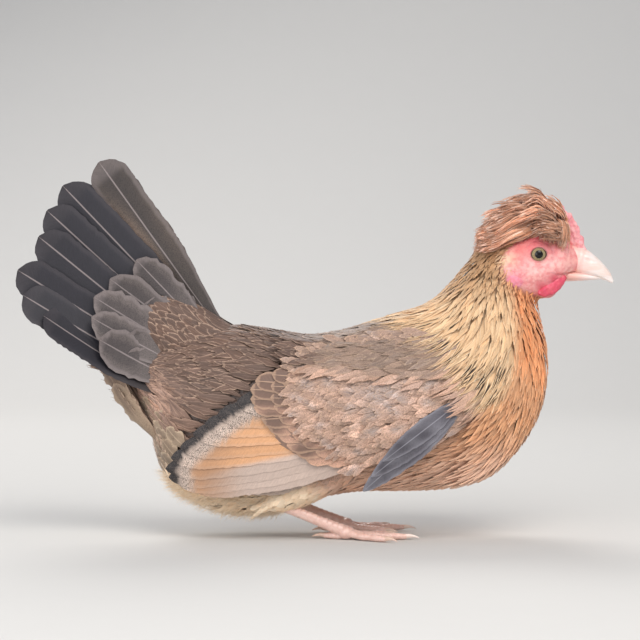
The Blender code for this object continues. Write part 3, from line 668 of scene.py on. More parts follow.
def barb_group():
    """Barbs of a vane: streaks that leave the shaft at a slant, as a height and as a shade."""
    tree, given, result = group(
        "barbs", (("Web", "Vector", None), ("Reach", "Vector", None), ("Spacing", "Float", 0.5)),
        (("Height", "Float"), ("Shade", "Float")))
    web, reach = (parts_of(tree, given.outputs[key]) for key in ("Web", "Reach"))
    spacing = given.outputs["Spacing"]
    out = sums(tree, "ABSOLUTE", reach["X"])
    phase = sums(tree, "SUBTRACT", reach["Y"], times(tree, out, 0.9))
    spot = node(tree, "CombineXYZ", {
        "X": sums(tree, "DIVIDE", phase, spacing), "Y": times(tree, out, 0.35),
        "Z": sums(tree, "ADD", times(tree, web["Z"], 61.0), sums(tree, "SIGN", reach["X"])),
    }).outputs[0]
    grain = noise(tree, spot, 1.0, 2.0, Roughness=0.6)
    line = sums(tree, "SINE", sums(tree, "DIVIDE", times(tree, phase, 6.283), spacing))
    height = sums(tree, "ADD", times(tree, line, 0.25), grain)
    tree.links.new(height, result.inputs["Height"])
    tree.links.new(step_between(tree, grain, 0.3, 0.7), result.inputs["Shade"])


def vane_group():
    """Markings of a feather: its ground, the streak along its middle, its rim and its pepper, and a
    darkening towards its root that is partly painted shade.
    """
    kinds = {"Web": "Vector", "Reach": "Vector", "Pepper": "Float", "Shaft": "Float",
             "Shaft Width": "Float"}
    tree, given, result = group(
        "vane marks",
        [(key, kinds.get(key, "Color"), None) for key in
         ("Web", "Reach", "Ground", "Middle", "Rim", "Amount", "Pepper", "Shaft", "Shaft Width")],
        (("Color", "Color"), ("Ridge", "Float")))
    given = given.outputs
    web, reach = (parts_of(tree, given[key]) for key in ("Web", "Reach"))
    amount = node(tree, "SeparateColor", {0: given["Amount"]}).outputs
    out = sums(tree, "ABSOLUTE", web["X"])
    speckle = node(tree, "CombineXYZ", {"X": reach["X"], "Y": times(tree, reach["Y"], 1.8),
                                        "Z": times(tree, web["Z"], 83.0)}).outputs[0]
    fine = noise(tree, speckle, 1.9, 2.5, Distortion=0.9)
    dark = times(tree, step_between(tree, fine, 0.5, 0.58), given["Pepper"])
    colour = mixed(tree, dark, given["Ground"], given["Middle"])
    wander = times(tree, sums(tree, "SUBTRACT", fine, 0.5), 0.25)
    edge = sums(tree, "MAXIMUM", out, step_between(tree, web["Y"], 0.72, 1.0))
    rim = step_between(tree, sums(tree, "ADD", edge, wander), 0.7, 0.88)
    colour = mixed(tree, times(tree, rim, amount["Green"]), colour, given["Rim"])
    wide = sums(tree, "ADD", amount["Blue"], 0.001)
    inside = sums(tree, "SUBTRACT", 1.0, sums(tree, "DIVIDE", out, wide))
    ends = times(tree, step_between(tree, web["Y"], 0.4, 0.65),
                 step_between(tree, web["Y"], 0.995, 0.93))
    streak = times(tree, step_between(tree, sums(tree, "ADD", inside, wander), 0.0, 0.5),
                   times(tree, ends, amount["Red"]))
    colour = mixed(tree, streak, colour, given["Middle"])
    shaft = step_between(tree, sums(tree, "DIVIDE", out, given["Shaft Width"]), 1.0, 0.4)
    clear = times(tree, given["Shaft"], step_between(tree, streak, 0.75, 0.35))
    pale = mixed(tree, times(tree, shaft, clear), colour, given["Rim"])
    # Painted shade: the feather darkens towards its root, partly the greyer base of a real feather
    # and partly the shade of the feathers lying over it.
    deep = mixed(tree, step_between(tree, web["Y"], 0.5, 0.05, 0.0, 0.2), pale,
                 (0.3, 0.25, 0.23), "MULTIPLY")
    tree.links.new(deep, result.inputs["Color"])
    tree.links.new(shaft, result.inputs["Ridge"])


def plumage(name, roughness, sheen, spacing=0.5, relief=0.3, shaft=0.35, shaft_width=0.09,
            streaks=0.2):
    """A feather material that reads a coat's marks."""
    made, tree, inputs = new_material(name, Roughness=roughness, Sheen_Weight=sheen,
                                      Sheen_Roughness=0.4, Specular_IOR_Level=0.35)

    def mark(key):
        return node(tree, "Attribute", attribute_name=key).outputs

    web, reach, amount = mark("web")["Vector"], mark("reach")["Vector"], mark("amount")
    colours = {key.capitalize(): mark(key)["Color"] for key in ("ground", "middle", "rim")}
    marks = placed_group(tree, "vane marks", {
        "Web": web, "Reach": reach, "Amount": amount["Color"], "Shaft": shaft,
        "Pepper": sums(tree, "SUBTRACT", 1.0, amount["Alpha"]), "Shaft Width": shaft_width,
        **colours})
    barbs = placed_group(tree, "barbs", {"Web": web, "Reach": reach, "Spacing": spacing})
    colour = mixed(tree, times(tree, barbs["Shade"], streaks), marks["Color"],
                   (0.35, 0.3, 0.28), "MULTIPLY")
    height = sums(tree, "ADD", barbs["Height"], times(tree, marks["Ridge"], 1.2))
    set_surface(tree, inputs, colour, height, relief, 0.0002)
    return made


def skin_group():
    """Bare skin: small close bumps and fine creases, as a height, and blood under it as a mask."""
    tree, given, result = group(
        "bare skin", (("Size", "Float", 900.0),), (("Height", "Float"), ("Blush", "Float")))
    place = node(tree, "TexCoord").outputs["Object"]
    bumps = node(tree, "TexVoronoi", {"Vector": place, "Scale": given.outputs["Size"]},
                 feature="SMOOTH_F1").outputs["Distance"]
    height = sums(tree, "ADD", times(tree, bumps, -1.0), noise(tree, place, 700.0, 5.0))
    tree.links.new(height, result.inputs["Height"])
    blush = step_between(tree, noise(tree, place, 420.0, 3.0), 0.35, 0.68)
    tree.links.new(blush, result.inputs["Blush"])


def horn_group():
    """Horn in thin layers: growth lines and faint flecks."""
    tree, given, result = group(
        "horn layers", (("Scale", "Vector", (1.0, 1.0, 1.0)),),
        (("Height", "Float"), ("Streak", "Float")))
    place = node(tree, "VectorMath", {0: node(tree, "TexCoord").outputs["Object"],
                                      1: given.outputs["Scale"]}, operation="MULTIPLY").outputs[0]
    lines = noise(tree, place, 260.0, 4.0, Roughness=0.6)
    tree.links.new(lines, result.inputs["Height"])
    tree.links.new(step_between(tree, lines, 0.38, 0.66), result.inputs["Streak"])


def bare_skin(name, ground, blush, size, relief, roughness, gloss=0.0):
    """A fleshy material. Its ground colour is given, or comes from a mark of the mesh."""
    made, tree, inputs = new_material(
        name, Roughness=roughness, Subsurface_Weight=0.12, Subsurface_Scale=1.0,
        Subsurface_Radius=(0.0012, 0.0005, 0.0003), Coat_Weight=gloss, Coat_Roughness=0.35)
    skin = placed_group(tree, "bare skin", {"Size": size})
    bare = 1.0
    if isinstance(ground, str):
        ground = node(tree, "Attribute", attribute_name=ground).outputs["Color"]
        bare = node(tree, "Attribute", attribute_name="bare").outputs["Fac"]
    part = times(tree, times(tree, skin["Blush"], bare), 0.5)
    set_surface(tree, inputs, mixed(tree, part, ground, blush), skin["Height"], relief, 0.00035)
    return made


def under_skin(name, colour):
    """The skin of a form that lies under feathers of a colour, painted in shade at half that
    colour.
    """
    ground, blush = (tuple(np.array(colour) * part) for part in (0.5, 0.3))
    return bare_skin(name, ground, blush, 500.0, 0.4, 0.8)


def horn(name, base, tip, start, end, streak, scale):
    """A horny material, from the base's colour to the tip's between two x places in metres."""
    made, tree, inputs = new_material(
        name, Roughness=0.33, Coat_Weight=0.25, Coat_Roughness=0.2, Subsurface_Weight=0.1,
        Subsurface_Scale=1.0, Subsurface_Radius=(0.001, 0.0007, 0.0005))
    layers = placed_group(tree, "horn layers", {"Scale": scale})
    x = parts_of(tree, node(tree, "TexCoord").outputs["Object"])["X"]
    colour = mixed(tree, step_between(tree, x, start, end), base, tip)
    colour = mixed(tree, times(tree, layers["Streak"], 0.35), colour, streak)
    set_surface(tree, inputs, colour, layers["Height"], 0.2, 0.0002)
    return made


# Markings of the coat

def in_cape(points, soft):
    """1 inside the cape, which reaches farther over the back, in an uneven edge."""
    y = points[..., 1]
    farther = np.clip(14 - np.abs(y), 0, 14) * (0.6 + 0.3 * np.sin(1.2 * y))
    return zone(points + farther[..., None] * (1, 0, 0), CAPE, soft)


def look_row(colours, names, amounts):
    """A feather's look in one row: the colours of ground, middle streak and rim, and amounts.

    The amounts are of the middle streak, the rim, the streak's width, and how plain it is between
    its marks.
    """
    return np.hstack([*(getattr(colours, name) for name in names.split()), amounts])


def full_look(points, colours, names, amounts):
    """One look for every point."""
    return np.tile(look_row(colours, names, amounts), (*points.shape[:-1], 1))


def coat_look(colours, points):
    """The look of feathers at points of the body's side view."""
    x, z = points[..., 0], points[..., 2]
    saddle = zone(points, SADDLE, 5)
    nape = zone(points, CAPE, 4) * ease(z, 104, 124)
    dashes = zone(points, DASHES, 3) * zone(points, CAPE, 6)
    look = full_look(points, colours, "breast breast_shade breast_pale", (0.35, 0.5, 0.3, 0.8))
    for part, names, amounts in (
            # The belly takes a colour paler than the breast: partly its own paler tone and partly
            # painted light for the light bounced up onto the underside.
            ((1 - ease(z, 26, 52)) * 0.8, "belly breast_shade breast_pale", (0.25, 0.6, 0.3, 0.85)),
            (zone(points, WING_PRINT, 4) * (x < 74), "bow mantle_dark breast_pale",
             (0.2, 0.3, 0.4, 0.5)),
            (zone(points, THROAT, 5), "throat breast_shade cape_pale", (0.25, 0.3, 0.25, 0.9)),
            (zone(points, MANTLE, 5), "mantle mantle_dark mantle_pale", (0.5, 0.55, 0.3, 0.35)),
            (saddle, "saddle saddle_dark saddle_pale", (0.55, 0.85, 0.5, 0.7)),
            (saddle * blot(points, -80, 62, 13), "bow saddle_dark covert", (0.5, 0.6, 0.5, 0.6)),
            (zone(points, VENT, 5), "saddle_pale saddle fluff", (0.3, 0.6, 0.4, 0.8)),
            # The fluff is partly painted light: paler than its own tone, for the light bounced up
            # onto the underside.
            (zone(points, FLUFF, 6), "fluff belly fluff_pale", (0.1, 0.5, 0.3, 0.95)),
            (in_cape(points, 4), "cape cape_shade cape_pale", (0.3, 0.6, 0.3, 0.9)),
            (nape * 0.75, "nape crest_dark cape", (0.3, 0.5, 0.3, 0.9)),
            (dashes, "cape dash cape_pale", (1.3, 0.8, 0.62, 0.9))):
        blend_in(look, part, look_row(colours, names, amounts))
    return look


def face_look(colours, points):
    """The colour of the bare skin at points of the side view."""
    made = np.tile(colours.face, (*points.shape[:-1], 1))
    for x, z, radius, colour, most in (
            (99, 138.5, 6.5, colours.face_deep, 0.95),
            (108, 134, 4, colours.face_deep, 0.45),
            (94.5, 134.5, 4.5, colours.face_warm, 0.9),
            (101, 122.5, 7, colours.face_pale, 0.9),
            (110, 127, 5, colours.face_pale, 0.9),
            (117, 129, 5, colours.horn_base, 0.8),
            (118, 122, 5, colours.horn_base, 0.85),
            (88, 128, 4.5, colours.ear_tuft, 0.75),
            (88.5, 122, 3.5, colours.face_pale, 0.8),
            (91, 117.8, 4.5, colours.lobe, 0.9),
            (110, 119.5, 3, colours.wattle, 0.9),
            (104, 116, 3, colours.wattle, 0.8),
            (98, 114, 4, colours.face_pale, 0.6)):
        made = toward(made, blot(points, x, z, radius) * most, colour)
    return made


def shade(name, red, green, blue):
    """A colour setting, given as it looks on a screen."""
    return bpy.props.FloatVectorProperty(
        name=name, description=f"Colour of: {name.lower()}", subtype="COLOR", size=3,
        default=tone(red, green, blue), min=0.0, max=1.0)


# Colours of plumage, skin, horn, eyes and floor, as they look on a screen
COLOURS = {
    "breast": (214, 156, 112), "breast_shade": (190, 128, 92), "breast_pale": (234, 194, 160),
    # belly and fluff are set paler than their own tone, partly as painted light for the underside.
    "belly": (242, 202, 178), "throat": (236, 156, 100),
    "mantle": (154, 130, 114), "mantle_dark": (108, 88, 78), "mantle_pale": (200, 172, 146),
    "saddle": (112, 88, 76), "saddle_dark": (84, 66, 58), "saddle_pale": (190, 160, 138),
    "fluff": (248, 220, 186), "fluff_pale": (252, 236, 210),
    "cape": (230, 190, 146), "cape_shade": (204, 162, 118), "cape_pale": (250, 230, 196),
    "nape": (160, 116, 76), "dash": (46, 36, 30),
    # The crest's dark colour is both the dark streak of crest and nape feathers and the painted
    # shade deep in the crest and on the skin under it.
    "crest": (206, 150, 118), "crest_dark": (150, 94, 62), "crest_pale": (242, 214, 196),
    "bow": (216, 176, 154), "bow_grey": (190, 174, 168), "covert": (222, 174, 148),
    "bay": (218, 164, 120), "pepper_dark": (38, 34, 35), "pepper_pale": (214, 192, 176),
    "primary": (200, 178, 164), "slate": (98, 94, 102), "slate_pale": (176, 174, 182),
    "tail": (50, 48, 54), "tail_dark": (34, 32, 38), "tail_pale": (158, 146, 144),
    "tail_top": (78, 70, 65), "vent": (170, 146, 122),
    "face": (230, 142, 142), "face_deep": (218, 98, 104), "face_warm": (232, 126, 118),
    "face_pale": (250, 200, 192), "wattle": (212, 74, 98), "comb": (250, 182, 182),
    "lobe": (232, 152, 170), "ear_tuft": (242, 208, 172), "lid": (150, 122, 116),
    "horn_base": (246, 188, 178), "horn_tip": (244, 232, 226),
    "scale": (232, 196, 182), "scale_deep": (206, 150, 134),
    "iris": (132, 112, 78), "iris_pale": (172, 160, 124), "floor": (206, 204, 200),
}


class HenColours(bpy.types.PropertyGroup):
    """Colours of the hen, as a shader takes them."""

    __annotations__ = {key: shade(key.replace("_", " ").capitalize(), *values)
                       for key, values in COLOURS.items()}


def metres(name, description, default, low, high):
    """A setting in metres."""
    return bpy.props.FloatProperty(name=name, description=description, default=default, min=low,
                                   max=high, unit="LENGTH")


class HenSizes(bpy.types.PropertyGroup):
    """Sizes of the coat that one may want to change."""

    depth: metres("Coat depth", "From the skin out to the body's outline", 0.003, 0.001, 0.006)
    hackle: metres("Hackle length", "Length of the longest feathers of the cape",
                   0.019, 0.01, 0.03)
    saddle: metres("Saddle length", "Length of the feathers over the tail's root",
                   0.018, 0.01, 0.03)
    body: metres("Body feather length", "Length of the feathers of breast and flank",
                 0.013, 0.006, 0.02)
    seed: bpy.props.IntProperty(
        name="Seed", description="Start of every random draw", default=7, min=0)


BODY = rail_form(TORSO + NECK + HEAD)
# The head begins where the x and z of the body's rings add up to this
HEAD_LINE = 209
HEAD_START = float(np.argmax(BODY.rings[:, 0] + BODY.rings[:, 2] > HEAD_LINE))
HEAD_START /= len(BODY.rings) - 1


def chance(context, number):
    return np.random.default_rng(context.scene.hen_sizes.seed * 100 + number)


# Skin

FACE_RELIEF = ((99, 121, 7, 0.9), (102.4, 138.4, 4.5, 0.7), (94.2, 130, 3.4, -0.6),
               (110.5, 130, 4, -0.5), (108, 124, 3.5, 0.5), (95, 113.5, 3, 0.4),
               (118, 117, 4.6, -2.4), (113.5, 115.5, 3, -1.2))


def skin_swell(depth, lids=True):
    """How far the skin stands out from the body's form: it is sunk wherever feathers cover it."""
    def swell(s, turn, here):
        x, z = here[..., 0], here[..., 2]
        head = ease(s, HEAD_START - 0.03, HEAD_START + 0.02)
        bare = zone(here, FACE, 2.5) * head
        made = -(depth + (1.6 - depth) * head) * (1 - bare)
        for spot_x, spot_z, radius, rise in FACE_RELIEF:
            made = made + bare * rise * blot(here, spot_x, spot_z, radius)
        mouth = np.exp(-((z - 121.3 - 0.02 * (x - 112) ** 2 * (x < 112)) / 0.55) ** 2)
        made = made - 0.8 * mouth * ease(x, 109, 112.5) * bare
        made = made - 1.4 * ease(x, 113, 121)
        if lids:
            far = np.hypot(x - EYE[0], z - EYE[2])
            made = made - 0.8 * (1 - ease(far, 4.4, 6.3))
        return made
    return swell


def on_side(side, x, z, swell):
    """Points of the swollen head at places of its side view."""
    s_all, turn_all = np.meshgrid(np.linspace(HEAD_START - 0.02, 0.97, 90),
                                  np.linspace(0.06, 0.44, 60), indexing="ij")
    s_all, turn_all = s_all.ravel(), turn_all.ravel()
    if side < 0:
        turn_all = 1 - turn_all
    grid = BODY.at(s_all, turn_all)
    first = np.array([np.argmin((grid[:, 0] - a) ** 2 + (grid[:, 2] - b) ** 2)
                      for a, b in zip(x, z)])
    s, turn = s_all[first], turn_all[first]
    for _ in range(7):
        here, along, around, normal = BODY.frame(s, turn)
        raised = here + normal * swell(s, turn, here)[:, None]
        off_x, off_z = x - raised[:, 0], z - raised[:, 2]
        room = along[:, 0] * around[:, 2] - around[:, 0] * along[:, 2]
        room = np.where(np.abs(room) < 1, 1, room)
        s = s + np.clip((off_x * around[:, 2] - off_z * around[:, 0]) / room, -0.02, 0.02)
        turn = turn + np.clip((along[:, 0] * off_z - along[:, 2] * off_x) / room, -0.02, 0.02)
    return raised


def lid(side, swell):
    """Points and faces of the two lids of one eye, from the edge of the opening outwards."""
    around = 80
    turn = 2 * np.pi * np.arange(around) / around
    out = np.array([-0.35, 0, 0.08, 0.22, 0.42, 0.7, 1, 1.3, 1.6, 1.9, 2.2, 2.5, 2.8, 3.2, 3.7])
    edge = 1 / np.hypot(np.cos(turn) / 3.5, np.sin(turn) / 3.05)
    edge = edge * (1 + 0.05 * np.maximum(np.cos(turn), 0) ** 8)
    radius = edge + out[:, None]
    x, z = EYE[0] + radius * np.cos(turn), EYE[2] + radius * np.sin(turn)
    ball = EYE[1] + np.sqrt(EYE_RADIUS ** 2 - np.minimum(edge, 4.4) ** 2)
    skin = np.abs(on_side(side, x.ravel(), z.ravel(), swell)[:, 1]).reshape(x.shape)
    roll = np.interp(out, (-0.35, 0, 0.08, 0.22, 0.42, 0.7, 1.3, 2),
                     (-0.5, 0.04, 0.28, 0.44, 0.5, 0.42, 0.15, 0))[:, None]
    fold = 0.11 * np.cos(out[:, None] * 2 * np.pi / 0.8 + 0.5 * np.sin(3 * turn))
    fold = fold * (ease(out, 0.5, 1) * (1 - ease(out, 2.2, 3.2)))[:, None]
    part = ease(out, 0.6, 3.2)[:, None]
    y = (ball + roll) * (1 - part) + (skin - 0.12 * ease(out, 3, 3.7)[:, None]) * part + fold
    margin = np.repeat(1 - ease(out, 0.3, 0.75), around)
    spots = np.stack([np.tile(turn / (2 * np.pi), len(out)), np.repeat(out / 4 + 0.1, around)], -1)
    return (np.stack([x, y * side, z], -1).reshape(-1, 3),
            ring_faces(len(out), around, side, False), margin, spots)


class HEN_OT_skin(bpy.types.Operator):
    """One skin for body, neck, head and thighs, bare on the face, with the lids"""

    bl_idname = "hen.skin"
    bl_label = "Skin and lids"

    def execute(self, context):
        colours, depth = context.scene.hen_colours, context.scene.hen_sizes.depth / MM
        rows = np.concatenate([np.linspace(0, HEAD_START, 112),
                               np.linspace(HEAD_START, 1, 150)[1:]])
        points, faces, s, turn = tube(BODY, rows, 240, skin_swell(depth))
        # Painted shade: where feathers cover the skin, it takes the coat's colour at six tenths,
        # and under the crest it takes the crest's dark colour.
        crown = ease(points[:, 2], 138, 143) * ease(s, HEAD_START, HEAD_START + 0.02)
        ground = toward(coat_look(colours, points)[:, :3] * 0.6, crown, colours.crest_dark)
        part = zone(points, FACE, 1.5) * ease(s, HEAD_START - 0.02, HEAD_START + 0.01)
        pieces = [(points, faces, toward(ground, part, face_look(colours, points)), part,
                   np.stack([0.02 + 0.96 * turn, 0.06 + 0.92 * s], -1))]
        for number, (_, side) in enumerate(SIDES):
            points, faces, margin, spots = lid(side, skin_swell(depth, False))
            look = toward(face_look(colours, points), margin * 0.8, colours.lid)
            pieces.append((points, faces, look, 0 * margin + 1,
                           spots * (0.4, 0.05) + (0.05 + 0.5 * number, 0)))
            points, faces, s, turn = tube(thigh_form(side), np.linspace(0, 1, 24), 40,
                                          lambda s, turn, here: s * 0 - 1.5)
            # Painted shade: the thigh's skin is the coat's colour at six tenths.
            pieces.append((points, faces, coat_look(colours, points)[:, :3] * 0.6, 0 * s,
                           np.stack([0.02 + 0.4 * turn + 0.5 * number, s * 0.02], -1)))
        starts = np.cumsum([0] + [len(piece[0]) for piece in pieces])
        corners, sizes = flat([tuple(corner + start for corner in face)
                               for piece, start in zip(pieces, starts) for face in piece[1]])
        points, looks, bare, spots = (np.concatenate([piece[i] for piece in pieces])
                                      for i in (0, 2, 3, 4))
        spots = spots[corners]
        starts = np.concatenate([[0], np.cumsum(sizes)[:-1]])[np.array(sizes) == 4]
        for column in range(1, 4):
            first, here = spots[starts, 0], spots[starts + column, 0]
            wrapped = first - here > 0.25
            spots[(starts + column)[wrapped], 0] += np.where(here[wrapped] < 0.5, 0.96, 0.4)
        material = bare_skin("bare skin of the face", "shade", colours.face_deep, 950.0, 0.75, 0.5)
        obj = mesh_piece("skin", points, (corners, sizes), material, spots)
        add_mark(obj, "shade", np.clip(looks, 0, 1))
        add_mark(obj, "bare", bare[:, None])
        placed(obj, "torso", "neck", "head", "thigh_right", "thigh_left", slot="face_skin")
        return {"FINISHED"}


# Eyes, bill and lobes

def eye_material(colours):
    """A dark pupil in an iris of pale fibres, under a wet cornea."""
    made, tree, inputs = new_material(
        "wet eye", Roughness=0.25, Specular_IOR_Level=0.1, Coat_Weight=1.0, Coat_Roughness=0.02,
        Coat_IOR=1.33)
    place = parts_of(tree, node(tree, "TexCoord").outputs["Object"])
    right = sums(tree, "SUBTRACT", place["X"], EYE[0] * MM)
    up = sums(tree, "SUBTRACT", place["Z"], EYE[2] * MM)
    squares = sums(tree, "ADD", times(tree, right, right), times(tree, up, up))
    out = times(tree, sums(tree, "SQRT", squares), 1000)
    turn = sums(tree, "ARCTAN2", up, right)
    spot = node(tree, "CombineXYZ", {"X": times(tree, turn, 7.0),
                                     "Y": times(tree, out, 0.8)}).outputs[0]
    fibre = noise(tree, spot, 1.5, 4.0)
    iris = mixed(tree, step_between(tree, fibre, 0.35, 0.65), colours.iris, colours.iris_pale)
    iris = mixed(tree, step_between(tree, out, 2.7, 3.5), iris, (0.03, 0.02, 0.015))
    wavy = sums(tree, "ADD", out, times(tree, fibre, 0.2))
    colour = mixed(tree, step_between(tree, wavy, 2.08, 1.9), iris, (0.004, 0.003, 0.003))
    tree.links.new(colour, inputs["Base Color"])
    return made


class HEN_OT_eyes(bpy.types.Operator):
    """Eyeballs with a bulging cornea"""

    bl_idname = "hen.eyes"
    bl_label = "Eyes"

    def execute(self, context):
        material = eye_material(context.scene.hen_colours)
        lean = np.linspace(0.02, np.pi - 0.02, 46)[:, None]
        turn = 2 * np.pi * np.arange(72) / 72
        radius = EYE_RADIUS - 0.04 + 0.25 * np.exp(-(lean / 0.5) ** 4)
        for name, side in SIDES:
            points = np.stack(np.broadcast_arrays(
                EYE[0] + radius * np.sin(lean) * np.cos(turn),
                side * (EYE[1] + radius * np.cos(lean) + 0 * turn),
                EYE[2] + radius * np.sin(lean) * np.sin(turn)), -1).reshape(-1, 3)
            faces = flat(ring_faces(len(lean), len(turn), side))
            placed(mesh_piece(f"eyeball_{name}", points, faces, material), f"eye_{name}",
                   slot="eye")
        return {"FINISHED"}


def bill_swell(s, turn, here):
    """Nostrils under their flaps, a flesh fold at the base and a keel along the top."""
    x, z = here[..., 0] - NOSTRIL[0], here[..., 2] - NOSTRIL[1]
    along, across = x * 0.93 - z * 0.36, x * 0.36 + z * 0.93
    sides = ease(np.abs(here[..., 1]), 1.2, 2.4)
    hole = np.exp(-((along / 1.7) ** 2 + (across / 0.55) ** 2) ** 1.6) * 0.95
    flap = np.exp(-((along / 2.4) ** 2 + ((across - 1) / 0.8) ** 2)) * 0.4
    keel = np.exp(-((turn - 0.5) / 0.05) ** 2) * 0.16
    fold = 0.25 * np.exp(-((s - 0.2) / 0.04) ** 2) - 0.18 * np.exp(-((s - 0.27) / 0.03) ** 2)
    sunk = 1.5 * (1 - ease(s, 0.02, 0.32))
    lip = 0.2 * np.exp(-((np.abs(turn - 0.5) - 0.36) / 0.03) ** 2) * ease(s, 0.1, 0.3)
    return (flap - hole) * sides + (keel + fold + lip) * (1 - ease(s, 0.85, 1)) - sunk


def lobed(rise, size, seed):
    """Soft lumps for a fleshy piece."""
    rng = np.random.default_rng(seed)
    waves = rng.normal(0, 1, (14, 3)) * size
    shifts = rng.uniform(0, 6.3, 14)

    def swell(s, turn, here):
        total = sum(np.sin(here @ wave + shift) for wave, shift in zip(waves, shifts))
        return rise * total / 3.7 * (1 - ease(np.abs(s - 0.5), 0.42, 0.5))
    return swell


def one_tube(name, form, rows, around, swell, material, slot, *nodes, sharp=0):
    points, faces, _, _ = tube(form, np.linspace(0, 1, rows), around, swell)
    return placed(mesh_piece(name, points, flat(faces), material, None, sharp), *nodes, slot=slot)


class HEN_OT_bill(bpy.types.Operator):
    """Upper and lower bill with nostrils"""

    bl_idname = "hen.bill"
    bl_label = "Bill"

    def execute(self, context):
        colours = context.scene.hen_colours
        material = horn("pale horn", colours.horn_base, colours.horn_tip, 0.117, 0.131,
                        tone(222, 170, 140), (0.25, 1.0, 1.6))
        one_tube("upper_bill", rail_form(UPPER_BILL), 100, 80, bill_swell, material, "horn",
                 "bill_upper")
        one_tube("lower_bill", rail_form(LOWER_BILL), 60, 56, None, material, "horn", "bill_lower")
        return {"FINISHED"}


class HEN_OT_lobes(bpy.types.Operator):
    """Comb, wattles and earlobes"""

    bl_idname = "hen.lobes"
    bl_label = "Comb, wattles and earlobes"

    def execute(self, context):
        colours = context.scene.hen_colours
        red = bare_skin("wattle skin", colours.wattle, colours.face_deep, 1150.0, 0.6, 0.45, 0.2)
        pink = bare_skin("comb skin", colours.comb, colours.wattle, 1150.0, 0.6, 0.45, 0.15)
        lilac = bare_skin("earlobe skin", colours.lobe, colours.face_deep, 800.0, 0.35, 0.5)
        edge = smooth_rows(COMB_EDGE, 8)
        base = line_between(COMB_BASE, len(edge))
        middle, up = in_plane(*((edge + base) / 2).T), in_plane(*((edge - base) / 2).T)
        form = Form(middle, up, 0 * up + (0, 1.7, 0))
        one_tube("comb_skin", form, 90, 64, lobed(0.32, 1.1, 3), pink, "wattle_skin", "comb")
        for name, side in SIDES:
            path = [(x, y * side, z) for x, y, z in WATTLE]
            one_tube(f"wattle_skin_{name}", swept_form(path, WATTLE_SIZES, (0, 0, 1)), 60, 48,
                     lobed(0.2, 1.3, 5), red, "wattle_skin", f"wattle_{name}")
            form = egg(np.array(EARLOBE) * (1, side, 1), EARLOBE_SIZE, 26)
            one_tube(f"earlobe_skin_{name}", form, 50, 48, lobed(0.12, 1.2, 9), lilac,
                     "earlobe_skin", f"earlobe_{name}")
        return {"FINISHED"}


# Coat of the body

def thigh_form(side):
    """A thigh from the hock up, so that its feathers point to the hock."""
    rows = THIGH[::-1]
    return swept_form([(x, y * side, z) for x, y, z, _ in rows], [(r, r) for *_, r in rows],
                      (1, 0, 0))


def sheet_height(x, z):
    """How far out from the middle plane the wing's sheet is."""
    along = np.where(x > SHEET_MIDDLE[0], SHEET_REACH[0], SHEET_REACH[1])
    upward = np.where(z > SHEET_MIDDLE[1], SHEET_REACH[2], SHEET_REACH[3])
    level = 1 - ((x - SHEET_MIDDLE[0]) / along) ** 2 - ((z - SHEET_MIDDLE[1]) / upward) ** 2
    return SHEET_OUT * np.sqrt(np.maximum(level, 0.05))


def on_sheet(side, x, z, out):
    """Points on the sheet that a folded wing lies on, lifted off it by out."""
    normal = unit(np.stack([sheet_height(x - 1, z) - sheet_height(x + 1, z), 0 * x + 2,
                            sheet_height(x, z - 1) - sheet_height(x, z + 1)], -1))
    points = np.stack([x, sheet_height(x, z), z], -1) + normal * out[..., None]
    return points * (1, side, 1)


def shoulder_rise(x, z, grow=1.0):
    """Height over the sheet of the rounded front of the wing."""
    off_x, off_z = x - SHOULDER[0], z - SHOULDER[1]
    c, s = math.cos(SHOULDER_TILT), math.sin(SHOULDER_TILT)
    edge = np.hypot((off_x * c + off_z * s) / (SHOULDER_SIZE[0] * grow),
                    (off_z * c - off_x * s) / (SHOULDER_SIZE[1] * grow))
    inside = SHOULDER_RISE * np.sqrt(np.maximum(1 - np.minimum(edge, 1) ** 4 * 0.97, 0))
    return inside - 9 * np.maximum(edge - 1, 0)


def over_wing(weight):
    """Moves points of the body's outline out of the wing, for feathers that lie over it."""
    def move(spot):
        x, z = spot[:, 0], spot[:, 2]
        covered = 3.4 - 12 * (1 - zone(spot, WING_PRINT, 5))
        top = sheet_height(x, z) + np.maximum(shoulder_rise(x, z, 1.04), covered) + 1.6
        gap = top - np.abs(spot[:, 1])
        gap = 0.5 * (gap + np.sqrt(gap * gap + 2)) - 0.05
        side = np.where(spot[:, 1] < 0, -1, 1)
        near = ease(np.abs(spot[:, 1]), 2, 12)
        made = np.zeros_like(spot)
        made[:, 1] = side * np.maximum(gap, 0) * weight * near
        return made
    return move


def on_top(points):
    """1 where the body's own feathers lie over the wing."""
    x, z = points[:, 0], points[:, 2]
    mantle = np.maximum(zone(points, MANTLE, 2), zone(points, CAPE, 2))
    return np.maximum(mantle, ease(x - 0.15 * (z - 60), 75, 79))


def hairs(coat, root, heading, normal, length, spot, look, seed, radius=0.07):
    """Adds fine barbs as slim closed spikes."""
    heading, normal = unit(heading), unit(normal)
    across = unit(np.cross(heading, normal)) * radius
    low = root - normal * radius * 0.5
    points = np.stack([root + normal * radius, low - across, low + across,
                       root + heading * length[:, None]], 1)
    web, reach = np.zeros((2, len(root), 4, 3))
    web[..., 0], web[..., 1], web[..., 2] = 0.5, 0.9, seed[:, None]
    reach[..., 0], reach[:, 3, 1] = 1, length
    patches = spot[:, None] + np.array([(0, 0), (-1, -1), (1, -1), (0, 1)]) * 0.0012
    coat.add(points, [(0, 2, 1), (0, 1, 3), (1, 2, 3), (2, 0, 3)], patches, web, reach,
             look[:, None])


